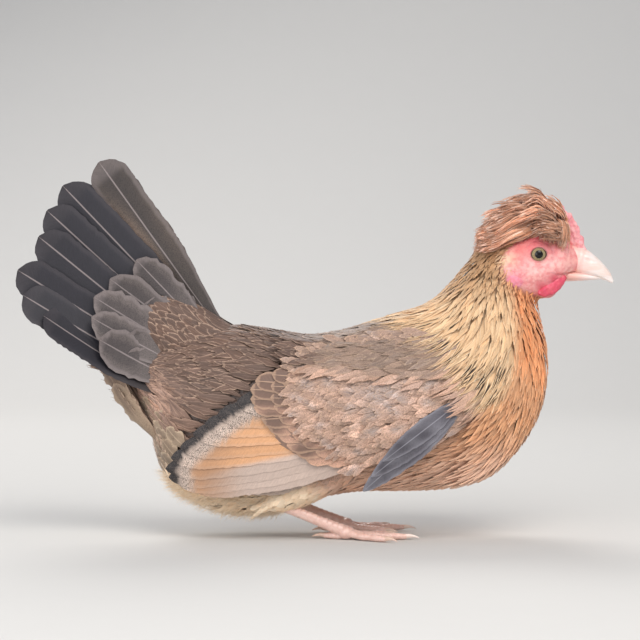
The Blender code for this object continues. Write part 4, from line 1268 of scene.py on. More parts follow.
def add_vanes(coat, points, shape, length, half, seed, spot, look, flip=False):
    """Adds feathers. spot is the middle of each one's patch of the bake map, or has strips."""
    count, rows, wide, _ = points.shape
    columns = wide - 1
    a, t, out = np.zeros((3, rows, wide))
    a[:, :columns] = np.linspace(-1, 1, columns)
    t[:, :columns], t[:, columns] = shape[..., 0], shape[:, columns // 2, 0]
    t = np.clip(t, 0, 1)
    out[:, :columns] = shape[..., 1]
    full = (count, rows, wide, 3)
    web = np.broadcast_to(np.stack([a, t, 0 * t], -1), full).copy()
    web[..., 2] = seed[:, None, None]
    reach = np.stack([out * half[:, None, None], t * length[:, None, None],
                      np.zeros(full[:3])], -1)
    if isinstance(spot, Strips):
        patches = np.stack([t * 0.96, a * 0.42 / spot.total], -1)
        spot = spot.take(count)
    else:
        patches = np.stack([a * 0.0015, (t - 0.5) * 0.003], -1)
    patches = spot[:, None, None, :] + patches
    points, patches, web, reach = (values.reshape(count, rows * wide, -1)
                                   for values in (points, patches, web, reach))
    look = look[:, None] if look.ndim == 2 else look.reshape(count, rows * wide, -1)
    coat.add(points, ring_faces(rows, wide), patches, web, reach, look, flip)


def tinted(rng, look, most):
    """A look with each feather a little lighter or darker, and a little warmer or cooler."""
    made, count = look.copy(), len(look)
    light = np.exp(rng.normal(0, most, (count, 1)))
    made[:, 9] *= np.where(rng.random(count) < 0.3, 0.3, 1)
    made[:, 10] *= rng.uniform(0.35, 1, count)
    made[:, :9] *= light
    made[:, :3] *= 1 + rng.normal(0, most * 0.3, (count, 1)) * np.array([1, 0, -1])
    return made


def tip_hairs(coat, rng, points, look, spot, seed, each, length, spread=0.35):
    """Loose barbs along the outer part of feathers."""
    count, rows, wide, _ = points.shape
    columns = wide - 1
    which = np.repeat(np.arange(count), each)
    row = rng.integers(int(rows * 0.55), rows, len(which))
    column = rng.integers(0, columns, len(which))
    column = np.where(row < rows - 1, np.where(rng.random(len(which)) < 0.5, 0, columns - 1),
                      column)
    root, shaft = points[which, row, column], points[which, row, columns // 2]
    heading = unit(root - points[which, row - 1, columns // 2]) + unit(
        root - shaft + 1e-6) * spread
    heading = heading + rng.normal(0, 0.12, heading.shape)
    reach = length * rng.uniform(0.5, 1.2, len(which))
    hairs(coat, root - unit(heading) * 0.15, heading, unit(shaft - points[which, row, columns]),
          reach, spot[which], look[which], seed[which])


def grow(coat, rng, colours, form, keep, spacing, length, half, depth, point=0.8, rows=7, columns=5,
         loose=0.25, camber=0.14, fringe=3, fringe_length=1.6, look=coat_look, wing=False,
         stray=0.1, moved=(0.02, 0.06), scale=(0.96, 0.92), rise=2.0, tries=90000):
    """Grows feathers on a form and adds them to a coat. The sizes may be functions of points."""
    def value(given, here):
        return given(here) if callable(given) else np.full(len(here), float(given))

    s, turn, here = scatter(form, rng, lambda spots: value(spacing, spots), keep, tries)
    count = len(s)
    covering = zone(here, WING_PRINT, 6) if wing else 0
    length = value(length, here) * rng.uniform(0.88, 1.1, count)
    half = value(half, here) * rng.uniform(0.9, 1.1, count)
    depth = value(depth, here) * (1 - 0.6 * covering)
    shape = leaf(np.linspace(0, 1, rows) ** 0.85, columns, point)
    t = shape[..., 0]
    a = np.linspace(-1, 1, columns)
    height = (-depth[:, None, None] * np.clip(1 - t, 0, 1) ** rise - camber * a * a
              + rng.uniform(-0.1, 0.2, (count, 1, 1)) * t
              + rng.normal(0, 0.1, (count, 1, 1)) * a * t)
    rough = ragged(rng, count, shape, loose)
    lean = rng.normal(0, stray, count)
    over = over_wing(on_top(here)) if wing else None
    points = lay(form, s, turn, lean, length, half, shape, rough, height, over)
    look = tinted(rng, look(colours, points[:, rows * 2 // 3, columns // 2]), 0.09)
    seed = rng.random(count)
    spot = np.stack([moved[0] + scale[0] * np.mod(turn, 1), moved[1] + scale[1] * s], -1)
    add_vanes(coat, points, shape, length, half, seed, spot, look)
    if fringe:
        tip_hairs(coat, rng, points, look, spot, seed, fringe, fringe_length)
    return points, look, spot, seed


def bare_part(here):
    return zone(here, FACE, 1) * (here[:, 0] > 78)


def hackle_part(here):
    x, z = here[:, 0], here[:, 2]
    cape = in_cape(here - (2, 0, 7), 3) * ease(x, 6, 28)
    neck = np.maximum(np.maximum(cape, zone(here, THROAT, 3)), (x > 70) & (z > 108))
    return neck * (1 - bare_part(here)) * (1 - ease(z, 141, 143.5))


def under_wing(here):
    return zone(here, WING_PRINT, 3) * (1 - on_top(here)) * (np.abs(here[:, 1]) > 12)


class HEN_OT_hackle(bpy.types.Operator):
    """Long narrow feathers of the neck and short ones round the face"""

    bl_idname = "hen.hackle"
    bl_label = "Hackle"

    def execute(self, context):
        colours, sizes = context.scene.hen_colours, context.scene.hen_sizes
        rng = chance(context, 1)
        longest, depth = sizes.hackle / MM, sizes.depth / MM
        material = plumage("hackle plumage", 0.62, 0.25, 0.35)

        def length(here):
            down = 1 - ease(here[:, 2], 92, 132)
            near = zone(here, FACE, 6)
            front = ease(here[:, 0], 90, 101)
            return (6.5 + (longest - 6.5) * down) * (1 - 0.4 * near) * (1 - 0.35 * front)

        def half(here):
            return 0.85 + 0.75 * (1 - ease(here[:, 2], 90, 130))

        def spacing(here):
            return 1.3 + 0.75 * (1 - ease(here[:, 2], 90, 132))

        def deep(here):
            return np.where(here[:, 2] > 124, 1.5, depth - 0.3)

        def upper(here):
            return (zone(here, THROAT, 0.1) > 0.5) | (here[:, 2] > 121)

        def edge(here):
            x, z = here[:, 0], here[:, 2]
            near = zone(here, FACE, 2.5)
            near = np.maximum(4 * near * (1 - near), blot(here, 88.5, 127, 3))
            return near * (x > 78) * (x < 106) * (z < 140)

        def bristles(colours, tips):
            look = coat_look(colours, tips)
            blend_in(look[:, :3], blot(tips, 87, 127, 20 ** 0.5), colours.ear_tuft)
            return look

        for name, low in (("hackle_feathers", True), ("throat_feathers", False)):
            coat = Coat(name)
            grow(coat, rng, colours, BODY,
                 lambda here: hackle_part(here) * (upper(here) != low), spacing, length, half,
                 deep, point=1.45, rows=8, fringe=4, wing=True, stray=0.13, loose=0.35)
            if not low:
                grow(coat, rng, colours, BODY, edge, 0.75, 3.6, 0.42, 0.5, point=1.45,
                     columns=3, fringe=0, stray=0.3, look=bristles)
            coat.make(material, "hackle_plumage")
        return {"FINISHED"}


class HEN_OT_body_feathers(bpy.types.Operator):
    """Feathers of breast, mantle, saddle and thighs, and the fluff of the belly"""

    bl_idname = "hen.body_feathers"
    bl_label = "Body feathers"

    def execute(self, context):
        colours, sizes = context.scene.hen_colours, context.scene.hen_sizes
        body, saddle = sizes.body / MM, sizes.saddle / MM
        depth = sizes.depth / MM - 0.3
        soft = plumage("body plumage", 0.72, 0.3, 0.4, streaks=0.15)
        silky = plumage("saddle plumage", 0.6, 0.25, 0.4, shaft=0.25)
        rng = chance(context, 2)
        broad = {"point": 1.25, "rows": 8, "fringe": 6, "wing": True, "loose": 0.35}

        def part(kind):
            def keep(here):
                x, z = here[:, 0], here[:, 2]
                free = (1 - hackle_part(here)) * (1 - under_wing(here)) * (1 - bare_part(here))
                free = free * ((x < 100) | (z < 104)) * (z < 120)
                back = np.maximum(zone(here, MANTLE, 3), zone(here, SADDLE, 3))
                down = np.maximum(zone(here, FLUFF, 3), zone(here, VENT, 3)) * (1 - back)
                breast = (1 - back) * (1 - down) * (1 - zone(here, WING_PRINT, 1) * (x < 74))
                return free * {"back": back, "down": down, "breast": breast}[kind]
            return keep

        def length(here):
            return body + 1 + (saddle - body - 1) * (1 - ease(here[:, 0], -40, -5))

        coat = Coat("breast_feathers")
        grow(coat, rng, colours, BODY, part("breast"), 2.25, body, 1.7, depth, rise=1.3,
             camber=0.34, **broad)
        coat.make(soft, "breast_plumage")
        coat = Coat("back_feathers")
        grow(coat, rng, colours, BODY, part("back"), 2.3, length, 2.1, depth, stray=0.22,
             **broad)
        coat.make(silky, "breast_plumage")

        coat = Coat("belly_fluff")
        points, look, spot, seed = grow(
            coat, rng, colours, BODY, part("down"), 2.7, body, 2.2, depth, columns=3,
            fringe=6, fringe_length=4, loose=0.6, stray=0.3)
        for _, side in SIDES:
            grow(coat, rng, colours, thigh_form(side), lambda here: np.ones(len(here)), 2.4, 9, 2,
                 1.3, tries=9000, point=0.7, columns=3, fringe=6, fringe_length=2.5, loose=0.5,
                 moved=(0.02 + 0.5 * (side > 0), 0), scale=(0.4, 0.05))
        coat.make(soft, "breast_plumage")

        coat = Coat("belly_down")
        ends = points[:, -1, 1]
        chosen = rng.random(len(ends)) < zone(ends, FLUFF, 4) * (ends[:, 2] < 34)
        points, look, spot, seed = points[chosen], look[chosen], spot[chosen], seed[chosen]
        blend_in(look[:, :3], 0.5, colours.fluff_pale)
        count, each = len(points), np.arange(len(points))
        for _ in range(22):
            row = rng.integers(3, 6, count)
            here = points[each, row, 1]
            root = here + rng.normal(0, 0.5, (count, 3))
            normal = unit(here - points[each, row, 3])
            heading = unit(points[each, row + 1, 1] - here)
            heading = unit(heading + normal * rng.uniform(0.05, 0.75, (count, 1))
                           + rng.normal(0, 0.35, (count, 3)) + (-0.15, 0, -0.35))
            hairs(coat, root, heading, normal, rng.uniform(3.5, 7, count), spot, look, seed, 0.11)
        coat.make(soft, "breast_plumage")

        def vent_look(colours, tips):
            return full_look(tips, colours, "vent saddle_dark fluff", (0.3, 0.4, 0.7, 0.8))

        coat = Coat("vent_feathers")
        grow(coat, rng, colours, BODY, lambda here: zone(here, VENT, 1) * (here[:, 0] < -56), 5,
             17, 4.4, 1.2, tries=30000, point=0.4, rows=12, columns=7, fringe=24,
             fringe_length=3, loose=0.5, look=vent_look)
        coat.make(silky, "tail_plumage")
        return {"FINISHED"}


# Crest

def fan_points(rng, angle, which, scale, loose=1.0):
    """Roots, bends, tips and outward ways of crest feathers."""
    fan = np.array(CREST_FAN, float)
    low = np.interp(np.abs(angle), fan[:, 0], fan[:, 1])
    high = np.interp(np.abs(angle), fan[:, 0], fan[:, 2]) * scale
    table = np.array(CREST_LOCKS, float)
    rows = np.arange(len(table))
    root_x, bend_x, bend_z, tip_x, tip_z = (np.interp(which, rows, column) for column in table.T)
    turn = np.radians(angle)
    outward = np.stack([0 * turn, np.sin(turn), np.cos(turn)], -1)

    def point(x, z):
        rise = low + (z - CREST_AXIS - 6) / 19 * (high - low)
        base = np.stack([x, 0 * x, 0 * x + CREST_AXIS], -1)
        return base + outward * rise[:, None]

    count = len(angle)
    pull = (1 - scale) * 8
    root = point(root_x, np.full(count, CREST_AXIS + 4.0))
    bend = point(bend_x - pull * 0.3, bend_z + rng.uniform(-1.5, 0.5, count) * loose)
    tip = point(tip_x + pull + rng.uniform(-0.8, 2.5, count) * loose,
                tip_z + rng.uniform(-2, 0.3, count) * loose)
    return root, bend, tip, outward


def bent_vanes(coat, rng, root, bend, tip, outward, half, shape, camber, look, spot, fringe=0,
               twist=0.0, curl=0.0, drift=None):
    """Adds feathers that follow a curve from root over bend to tip, and curl down at its end."""
    count = len(root)
    length = np.linalg.norm(bend - root, axis=1) * 0.5 + np.linalg.norm(tip - root, axis=1) * 0.6
    t, a, out, deep = spread(rng, shape, half, 0.35, 0.2, 0.4)
    turned = rng.normal(0, twist, count)
    root, bend, tip, outward, sizes, curl, turned = (
        values[:, None, None] for values in (root, bend, tip, outward, half,
                                             np.broadcast_to(curl, count), turned))
    shaft = t[:, -1:]
    s = shaft[..., None]
    here = root * (1 - s) ** 2 + bend * 2 * s * (1 - s) + tip * s * s
    here[..., 2] -= curl * np.maximum(0, shaft - 0.4) ** 2 / 0.36
    if drift:
        here = here + drift(here)
    along = unit((bend - root) * (1 - s) + (tip - bend) * s)
    across = unit(np.cross(along, outward))
    face = np.cross(across, along)
    spin = (turned * (0.4 + 0.6 * shaft))[..., None]
    across, face = (across * np.cos(spin) + face * np.sin(spin),
                    face * np.cos(spin) - across * np.sin(spin))
    sunk = deep + camber * sizes * (a * a + 0.4 * (deep > 0))
    points = (here + across * out[..., None] - face * sunk[..., None]
              + along * ((t - shaft) * length[:, None, None])[..., None])
    seed = rng.random(count)
    add_vanes(coat, points, shape, length, half, seed, spot, look)
    if fringe:
        tip_hairs(coat, rng, points, look, spot, seed, fringe, 2.4, 0.3)


class HEN_OT_crest(bpy.types.Operator):
    """Crest of narrow feathers in locks that rise from the crown and sweep back"""

    bl_idname = "hen.crest"
    bl_label = "Crest"

    def execute(self, context):
        colours = context.scene.hen_colours
        rng = chance(context, 4)
        material = plumage("crest plumage", 0.6, 0.3, 0.35)
        coat = Coat("crest_feathers")
        shape = leaf(np.linspace(0, 1, 11), 3, 1.4)

        def looked(dark, light):
            look = full_look(light[:, None], colours, "crest crest_dark crest_pale",
                             (0.4, 0.7, 0.4, 0.85))
            # Painted shade: dark darkens a feather towards the crest's dark colour, the shade deep
            # inside the crest.
            blend_in(look[:, :3], dark, colours.crest_dark)
            look[:, :9] *= light[:, None]
            return tinted(rng, look, 0.12)

        def lower(spots):
            x, far = spots[..., 0], ease(np.abs(spots[..., 1]), 6, 12)
            arch = 3 * np.exp(-((x - 102) / 6) ** 2) - 4 * ease(94 - x, 0, 14)
            return in_plane(0 * x, arch * far)

        for scale, locks, each, dark in CREST_LAYERS:
            angle = rng.uniform(-92, 92, locks)
            which = rng.uniform(0, 8, locks)
            curl = rng.uniform(0, 3.5, locks)
            sway = rng.normal(0, 1.6, locks)
            light = np.exp(rng.normal(0, 0.2, locks))
            member = np.repeat(np.arange(locks), each)
            count = len(member)
            root, bend, tip, outward = fan_points(
                rng, angle[member] + rng.normal(0, 4, count),
                np.clip(which[member] + rng.normal(0, 0.2, count), 0, 8), scale, 0.35)
            bend = bend + rng.normal(0, 0.5, bend.shape) + outward * rng.uniform(
                0, 1.5, (count, 1))
            tip = tip + rng.normal(0, 0.5, tip.shape)
            tip[:, 1] += sway[member]
            spot = np.stack([0.5 + angle / 210, 0.1 + 0.8 * which / 8], -1)[member]
            # Painted shade: the inner layers, and the locks low on the crest's sides, are darker.
            bent_vanes(coat, rng, root, bend, tip, outward, rng.uniform(0.6, 1.35, count), shape,
                       0.4, looked(dark + 0.4 * ease(np.abs(angle[member]), 62, 90),
                                   light[member]), spot, 7, 0.7,
                       curl[member] + rng.normal(0, 0.4, count), lower)
        for _, side in SIDES:
            count = 130
            t = rng.random(count)
            root, bend, tip = (
                toward(np.array(first) * (1, side, 1), t, np.array(last) * (1, side, 1))
                + rng.normal(0, 0.9, (count, 3))
                for first, last in BROW_FEATHERS)
            outward = np.tile(unit(np.array((0.3, side, 0.3))), (count, 1))
            spot = np.stack([0.5 + 0.45 * side + 0 * t, 0.1 + 0.3 * t], -1)
            # Painted shade: the brow feathers darken towards the back of the row, under the crest.
            bent_vanes(coat, rng, root, bend, tip, outward, rng.uniform(0.6, 1.2, count), shape,
                       0.3, looked(0.1 + 0.6 * t * t, np.exp(rng.normal(0, 0.2, count))), spot, 6,
                       0.6)
        coat.make(material, "crest_plumage", "crest")
        out = np.sin(np.linspace(0.05, 3.09, 20)) ** 0.6
        core = Form(in_plane(np.linspace(82, 112, 20), 0 * out + CREST_AXIS + 4),
                    in_plane(0 * out, 9.5 * out), in_plane(10.5 * out, 0 * out)[:, (1, 0, 2)])
        # Painted shade: a dark brown crown under the crest, which shows as shadow between the
        # locks.
        dark = bare_skin("crown under the crest", tone(120, 76, 52), tone(96, 58, 40), 600.0, 0.5,
                         0.8)
        one_tube("crown", core, 40, 48, None, dark, "crest_plumage")
        return {"FINISHED"}


# Wings

def wing_vanes(coat, rng, side, root, tip, half, lift, slope, shape, look, spot, sag=0.0,
               camber=0.25, loose=0.08, base=None, gentle=0.4):
    """Adds feathers that lie on the wing's sheet, each with its upper edge tucked in."""
    root, tip = np.array(root, float), np.array(tip, float)
    count = len(root)
    along = unit(tip - root)
    up = np.stack([along[:, 1], -along[:, 0]], -1)
    length = np.linalg.norm(tip - root, axis=1)
    half = np.broadcast_to(np.asarray(half, float), (count,))
    t, a, out, deep = spread(rng, shape, half, loose)
    first, last = np.broadcast_to(np.asarray(lift, float), (count, 2)).T[..., None, None]
    spots = (root[:, None, None] + (tip - root)[:, None, None] * t[..., None]
             + up[:, None, None] * (out - sag * 4 * t * (1 - t))[..., None])
    high = first + (last - first) * (1 - (1 - np.clip(t / gentle, 0, 1)) ** 1.6)
    if base:
        high = high + base(spots[..., 0], spots[..., 1])
    high = high - slope * out - camber * a * a - deep
    points = on_sheet(side, spots[..., 0], spots[..., 1], high)
    seed = rng.random(count)
    look = look(points)
    add_vanes(coat, points, shape, length, half, seed, spot, look, side > 0)
    return points, look[:, 0, 0], seed


def mottle(points, size):
    """Soft patches over the side view, from 0 to 1."""
    x, z = points[..., 0] / size, points[..., 2] / size
    return 0.5 + 0.5 * np.sin(1.7 * x + 2 * np.sin(1.3 * z)) * np.sin(2.1 * z + 1.6 * np.sin(x))


def along_line(rows, steps, count):
    """Places on a smooth curve through the rows."""
    line = smooth_rows(rows, steps)
    return line[np.linspace(0, len(line) - 1, count).astype(int)]


def lit(rng, look, most):
    """A look of large feathers, with the ground of each a little lighter or darker."""
    look[..., :3] *= np.exp(rng.normal(0, most, (len(look), 1, 1, 1)))
    return look


def line_between(ends, count):
    return toward(np.tile(np.array(ends[0], float), (count, 1)), np.linspace(0, 1, count), ends[1])


def spread(rng, shape, half, loose, thick=0.32, least=0.3):
    """Stations, sides, half widths and depths of feathers, with the column under the shaft."""
    columns = shape.shape[1]
    rough = ragged(rng, len(half), shape, loose)
    pick = [*range(columns), columns // 2]
    t = shape[:, pick, 0]
    out = shape[:, pick, 1] * half[:, None, None] * rough[:, :, pick]
    deep = thick * np.minimum(1, least + 3 * (1 - t)) * (np.arange(columns + 1) == columns)
    return t, np.linspace(-1, 1, columns)[pick], out, deep


class HEN_OT_wings(bpy.types.Operator):
    """Folded wings: quills, four rows of coverts and the slate feathers in front"""

    bl_idname = "hen.wings"
    bl_label = "Wings"

    def execute(self, context):
        stiff = plumage("wing quills", 0.5, 0.12, 0.45, 0.3, 0.45, 0.07)
        soft = plumage("wing coverts", 0.66, 0.25, 0.4)
        for number, (name, side) in enumerate(SIDES):
            colours, rng = context.scene.hen_colours, chance(context, 5 + number)
            quills = Coat(f"wing_quills_{name}")
            add_wing_quills(quills, colours, rng, side)
            quills.make(stiff, "wing_plumage", f"wing_{name}")
            coverts = Coat(f"wing_coverts_{name}")
            add_wing_bow(coverts, colours, rng, side)
            coverts.make(soft, "wing_plumage")
            add_wing_bed(name, side, colours)
        return {"FINISHED"}


def add_wing_quills(coat, colours, rng, side):
    """Primaries, secondaries, three rows of greater coverts, one of middle ones and the slate."""
    strips = Strips(WING_STRIPS)
    long = leaf(np.linspace(0, 1, 48) ** 0.6, 9, 0.4, 0.06, 0.8)
    short = leaf(np.linspace(0, 1, 18), 9, 0.45, 0.12, 0.66)
    lance = leaf(np.linspace(0, 1, 36) ** 0.8, 9, 0.75, 0.06, 0.5)

    def primary_look(points):
        look = full_look(points, colours, "primary slate pepper_pale", (0.5, 0.6, 0.8, 0.6))
        blend_in(look[..., :3], mottle(points, 7) * 0.3, colours.slate)
        return lit(rng, look, 0.1)

    def secondary_look(points):
        look = full_look(points, colours, "bay pepper_dark pepper_pale", (0.15, 0.15, 0.5, 0.9))
        ground, middle, amount = look[..., :3], look[..., 3:6], look[..., 9:]
        x, z = points[..., 0], points[..., 2]
        below = from_line(points, SECONDARY_TIPS[1:]) + rng.normal(0, 0.5, x.shape[:2])[..., None]
        low = ease(28.5 + (x + 63) * 0.237 - z, -1, 2) * ease(x, -60, -30)
        pale, dark = 1 - ease(below, 8, 13), 1 - ease(below, 3.2, 5.6)
        blend_in(ground, low, colours.primary)
        blend_in(middle, low, colours.slate)
        blend_in(ground, np.exp(-(((x + 50) / 12) ** 2)) * 0.35, colours.saddle)
        blend_in(ground, pale, colours.pepper_pale)
        blend_in(amount, pale, (0.1, 0.1, 0.5, 0.05))
        blend_in(look, dark, look_row(colours, "pepper_dark pepper_pale pepper_dark",
                                      (0.0, 0.05, 0.5, 0.88)))
        return lit(rng, look, 0.07)

    def covert_look(points):
        look = full_look(points, colours, "covert mantle_dark breast_pale", (0.15, 0.15, 0.6, 0.5))
        x, z = points[..., 0], points[..., 2]
        dark = blot(points, -20, 55, 8)
        dark = np.maximum(dark, ease(-x, 2, 18) * ease(z, 56, 66))
        dark = np.maximum(dark, blot(points, -5, 42, 7, 4))
        dark = np.minimum(dark * 1.25, 1)
        blend_in(look[..., :3], dark * 0.75, colours.pepper_dark)
        blend_in(look[..., 9:], dark, (0.3, 0.3, 0.5, 0.7))
        return look

    def slate_look(points):
        look = full_look(points, colours, "slate tail_dark slate_pale", (0.3, 0.2, 0.9, 0.8))
        blend_in(look[..., :3], mottle(points, 5) * 0.4, colours.slate_pale)
        look[..., :3] *= 0.85
        return look

    layer = -1.9 - 0.55 * np.arange(7)[::-1]
    wing_vanes(coat, rng, side, line_between(PRIMARY_ROOTS, 7), along_line(PRIMARY_TIPS, 4, 7), 4.4,
               np.stack([layer, layer], 1), 0.05, long, primary_look, strips)
    tips = along_line(SECONDARY_TIPS, 6, 12) + rng.uniform(-0.5, 0.5, (12, 2))
    wing_vanes(coat, rng, side, line_between(SECONDARY_ROOTS, 12), tips, 6.2, (0, 0), 0.13, long,
               secondary_look, strips, sag=1.5)
    for row_tips, ahead, count, length, half, *lift in COVERT_ROWS:
        tips = along_line(row_tips, 8, count)
        tips = tips + rng.uniform(-0.8, 0.8, tips.shape) + (ahead, ahead * 0.15)
        turn = np.radians(20 - 24 * np.linspace(0, 1, count))
        roots = tips + np.stack([np.cos(turn), np.sin(turn)], 1) * length
        wing_vanes(coat, rng, side, roots, tips, half, lift, 0.11, short, covert_look,
                   strips)
    wing_vanes(coat, rng, side, *SLATE_FEATHERS, 0, lance, slate_look, strips)


def add_wing_bow(coat, colours, rng, side):
    """Small soft feathers over the round front of the wing."""
    u, v = np.meshgrid(np.arange(-23, 24), np.arange(-16, 17))
    x = (SHOULDER[0] + (u + 0.5 * (v % 2)) * 2.6).ravel()
    z = (SHOULDER[1] + v * 2.0).ravel()
    x += rng.uniform(-0.9, 0.9, len(x))
    z += rng.uniform(-0.7, 0.7, len(z))
    tips = smooth_rows(MIDDLE_COVERT_TIPS, 8)
    limit = np.interp(z, tips[:, 1], tips[:, 0]) + 7 - 6 * (1 - ease(z, 52, 60))
    slate = zone(in_plane(x, z), ((78, 74), (72, 60), (30, 24), (10, 20), (24, 34), (56, 62)), 0.1)
    inside = (shoulder_rise(x, z, 0.99) > 0) & (x > limit) & (slate < 0.5)
    x, z = x[inside], z[inside]
    count = len(x)
    turn = np.radians(196 - (z - 64) * 0.2 + rng.normal(0, 14, count))
    length = rng.uniform(9, 13, count)
    root = np.stack([x, z], 1)
    tip = root + np.stack([np.cos(turn), np.sin(turn)], 1) * length[:, None]

    def bow_look(points):
        look = full_look(points, colours, "bow mantle_dark breast_pale", (0.2, 0.3, 0.4, 0.45))
        for part, colour in ((blot(points, 29, 69, 12, 7) * 0.8, colours.bow_grey),
                             (ease(points[..., 2], 66, 82) * 0.6, colours.mantle),
                             (mottle(points, 6) ** 2 * 0.7, colours.mantle),
                             (mottle(points + 31, 5) ** 3 * 0.8, colours.bow_grey)):
            blend_in(look[..., :3], part, colour)
        return lit(rng, look, 0.17)

    spot = np.stack([0.1 + (x + 30) / 140, 0.1 + (z - 30) / 90], -1)
    heights = np.stack([np.full(count, -1.5), rng.uniform(-0.1, 0.25, count)], 1)
    points, look, seed = wing_vanes(
        coat, rng, side, root, tip, rng.uniform(1.4, 1.9, count), heights, 0.0,
        leaf(np.linspace(0, 1, 8) ** 0.85, 5, 0.85), bow_look, spot, camber=0.1, loose=0.35,
        gentle=1.0, base=lambda at_x, at_z: np.maximum(shoulder_rise(at_x, at_z, 1.05), 2.6))
    tip_hairs(coat, rng, points, look, spot, seed, 7, 2.2)


def add_wing_bed(name, side, colours):
    """The soft front of the wing that its small feathers grow from."""
    front, back = np.linspace(0.02, 1, 26), np.linspace(1, 0.02, 8)
    part = 0.97 * np.concatenate([front, back])[:, None]
    turn = 2 * np.pi * np.arange(72) / 72
    u, v = SHOULDER_SIZE[0] * part * np.cos(turn), SHOULDER_SIZE[1] * part * np.sin(turn)
    c, s = math.cos(SHOULDER_TILT), math.sin(SHOULDER_TILT)
    x, z = SHOULDER[0] + u * c - v * s, SHOULDER[1] + u * s + v * c
    out = shoulder_rise(x, z) - 1.6
    out[len(front):] = -4
    # Painted shade: the wing's bed is half the colour of the bow.
    material = under_skin(f"wing skin {name}", colours.bow)
    points = on_sheet(side, x, z, out).reshape(-1, 3)
    faces = flat(ring_faces(*x.shape, side))
    placed(mesh_piece(f"wing_bed_{name}", points, faces, material, None, 60), slot="wing_plumage")


# Tail

def tail_vanes(coat, rng, side, roots, tips, half, out, slope, shape, look, spot, camber=0.5,
               bow=1.5, loose=0.06):
    """Adds tail feathers of one side, each with its upper edge tucked in."""
    roots, tips = (np.array(points, float) * (1, side, 1) for points in (roots, tips))
    count = len(roots)
    along = unit(tips - roots)
    up = np.vstack([tips[:1], tips[:-1]]) - np.vstack([tips[1:], tips[-1:]])
    up = unit(up - along * (up * along).sum(1)[:, None])
    outward = np.cross(along, up) * -side
    length = np.linalg.norm(tips - roots, axis=1)
    half = np.broadcast_to(np.asarray(half, float), (count,))
    t, a, wide, deep = spread(rng, shape, half, loose)
    high = (out - slope * wide - camber * a * a * (half[:, None, None] / 8)
            + bow * 4 * (t * (1 - t)) - 0.6 * t * t - deep)
    roots, way, up, outward = (values[:, None, None] for values in (roots, tips - roots, up,
                                                                    outward))
    points = roots + way * t[..., None] + up * wide[..., None] + outward * high[..., None]
    seed = rng.random(count)
    add_vanes(coat, points, shape, length, half, seed, spot, look(points), side < 0)


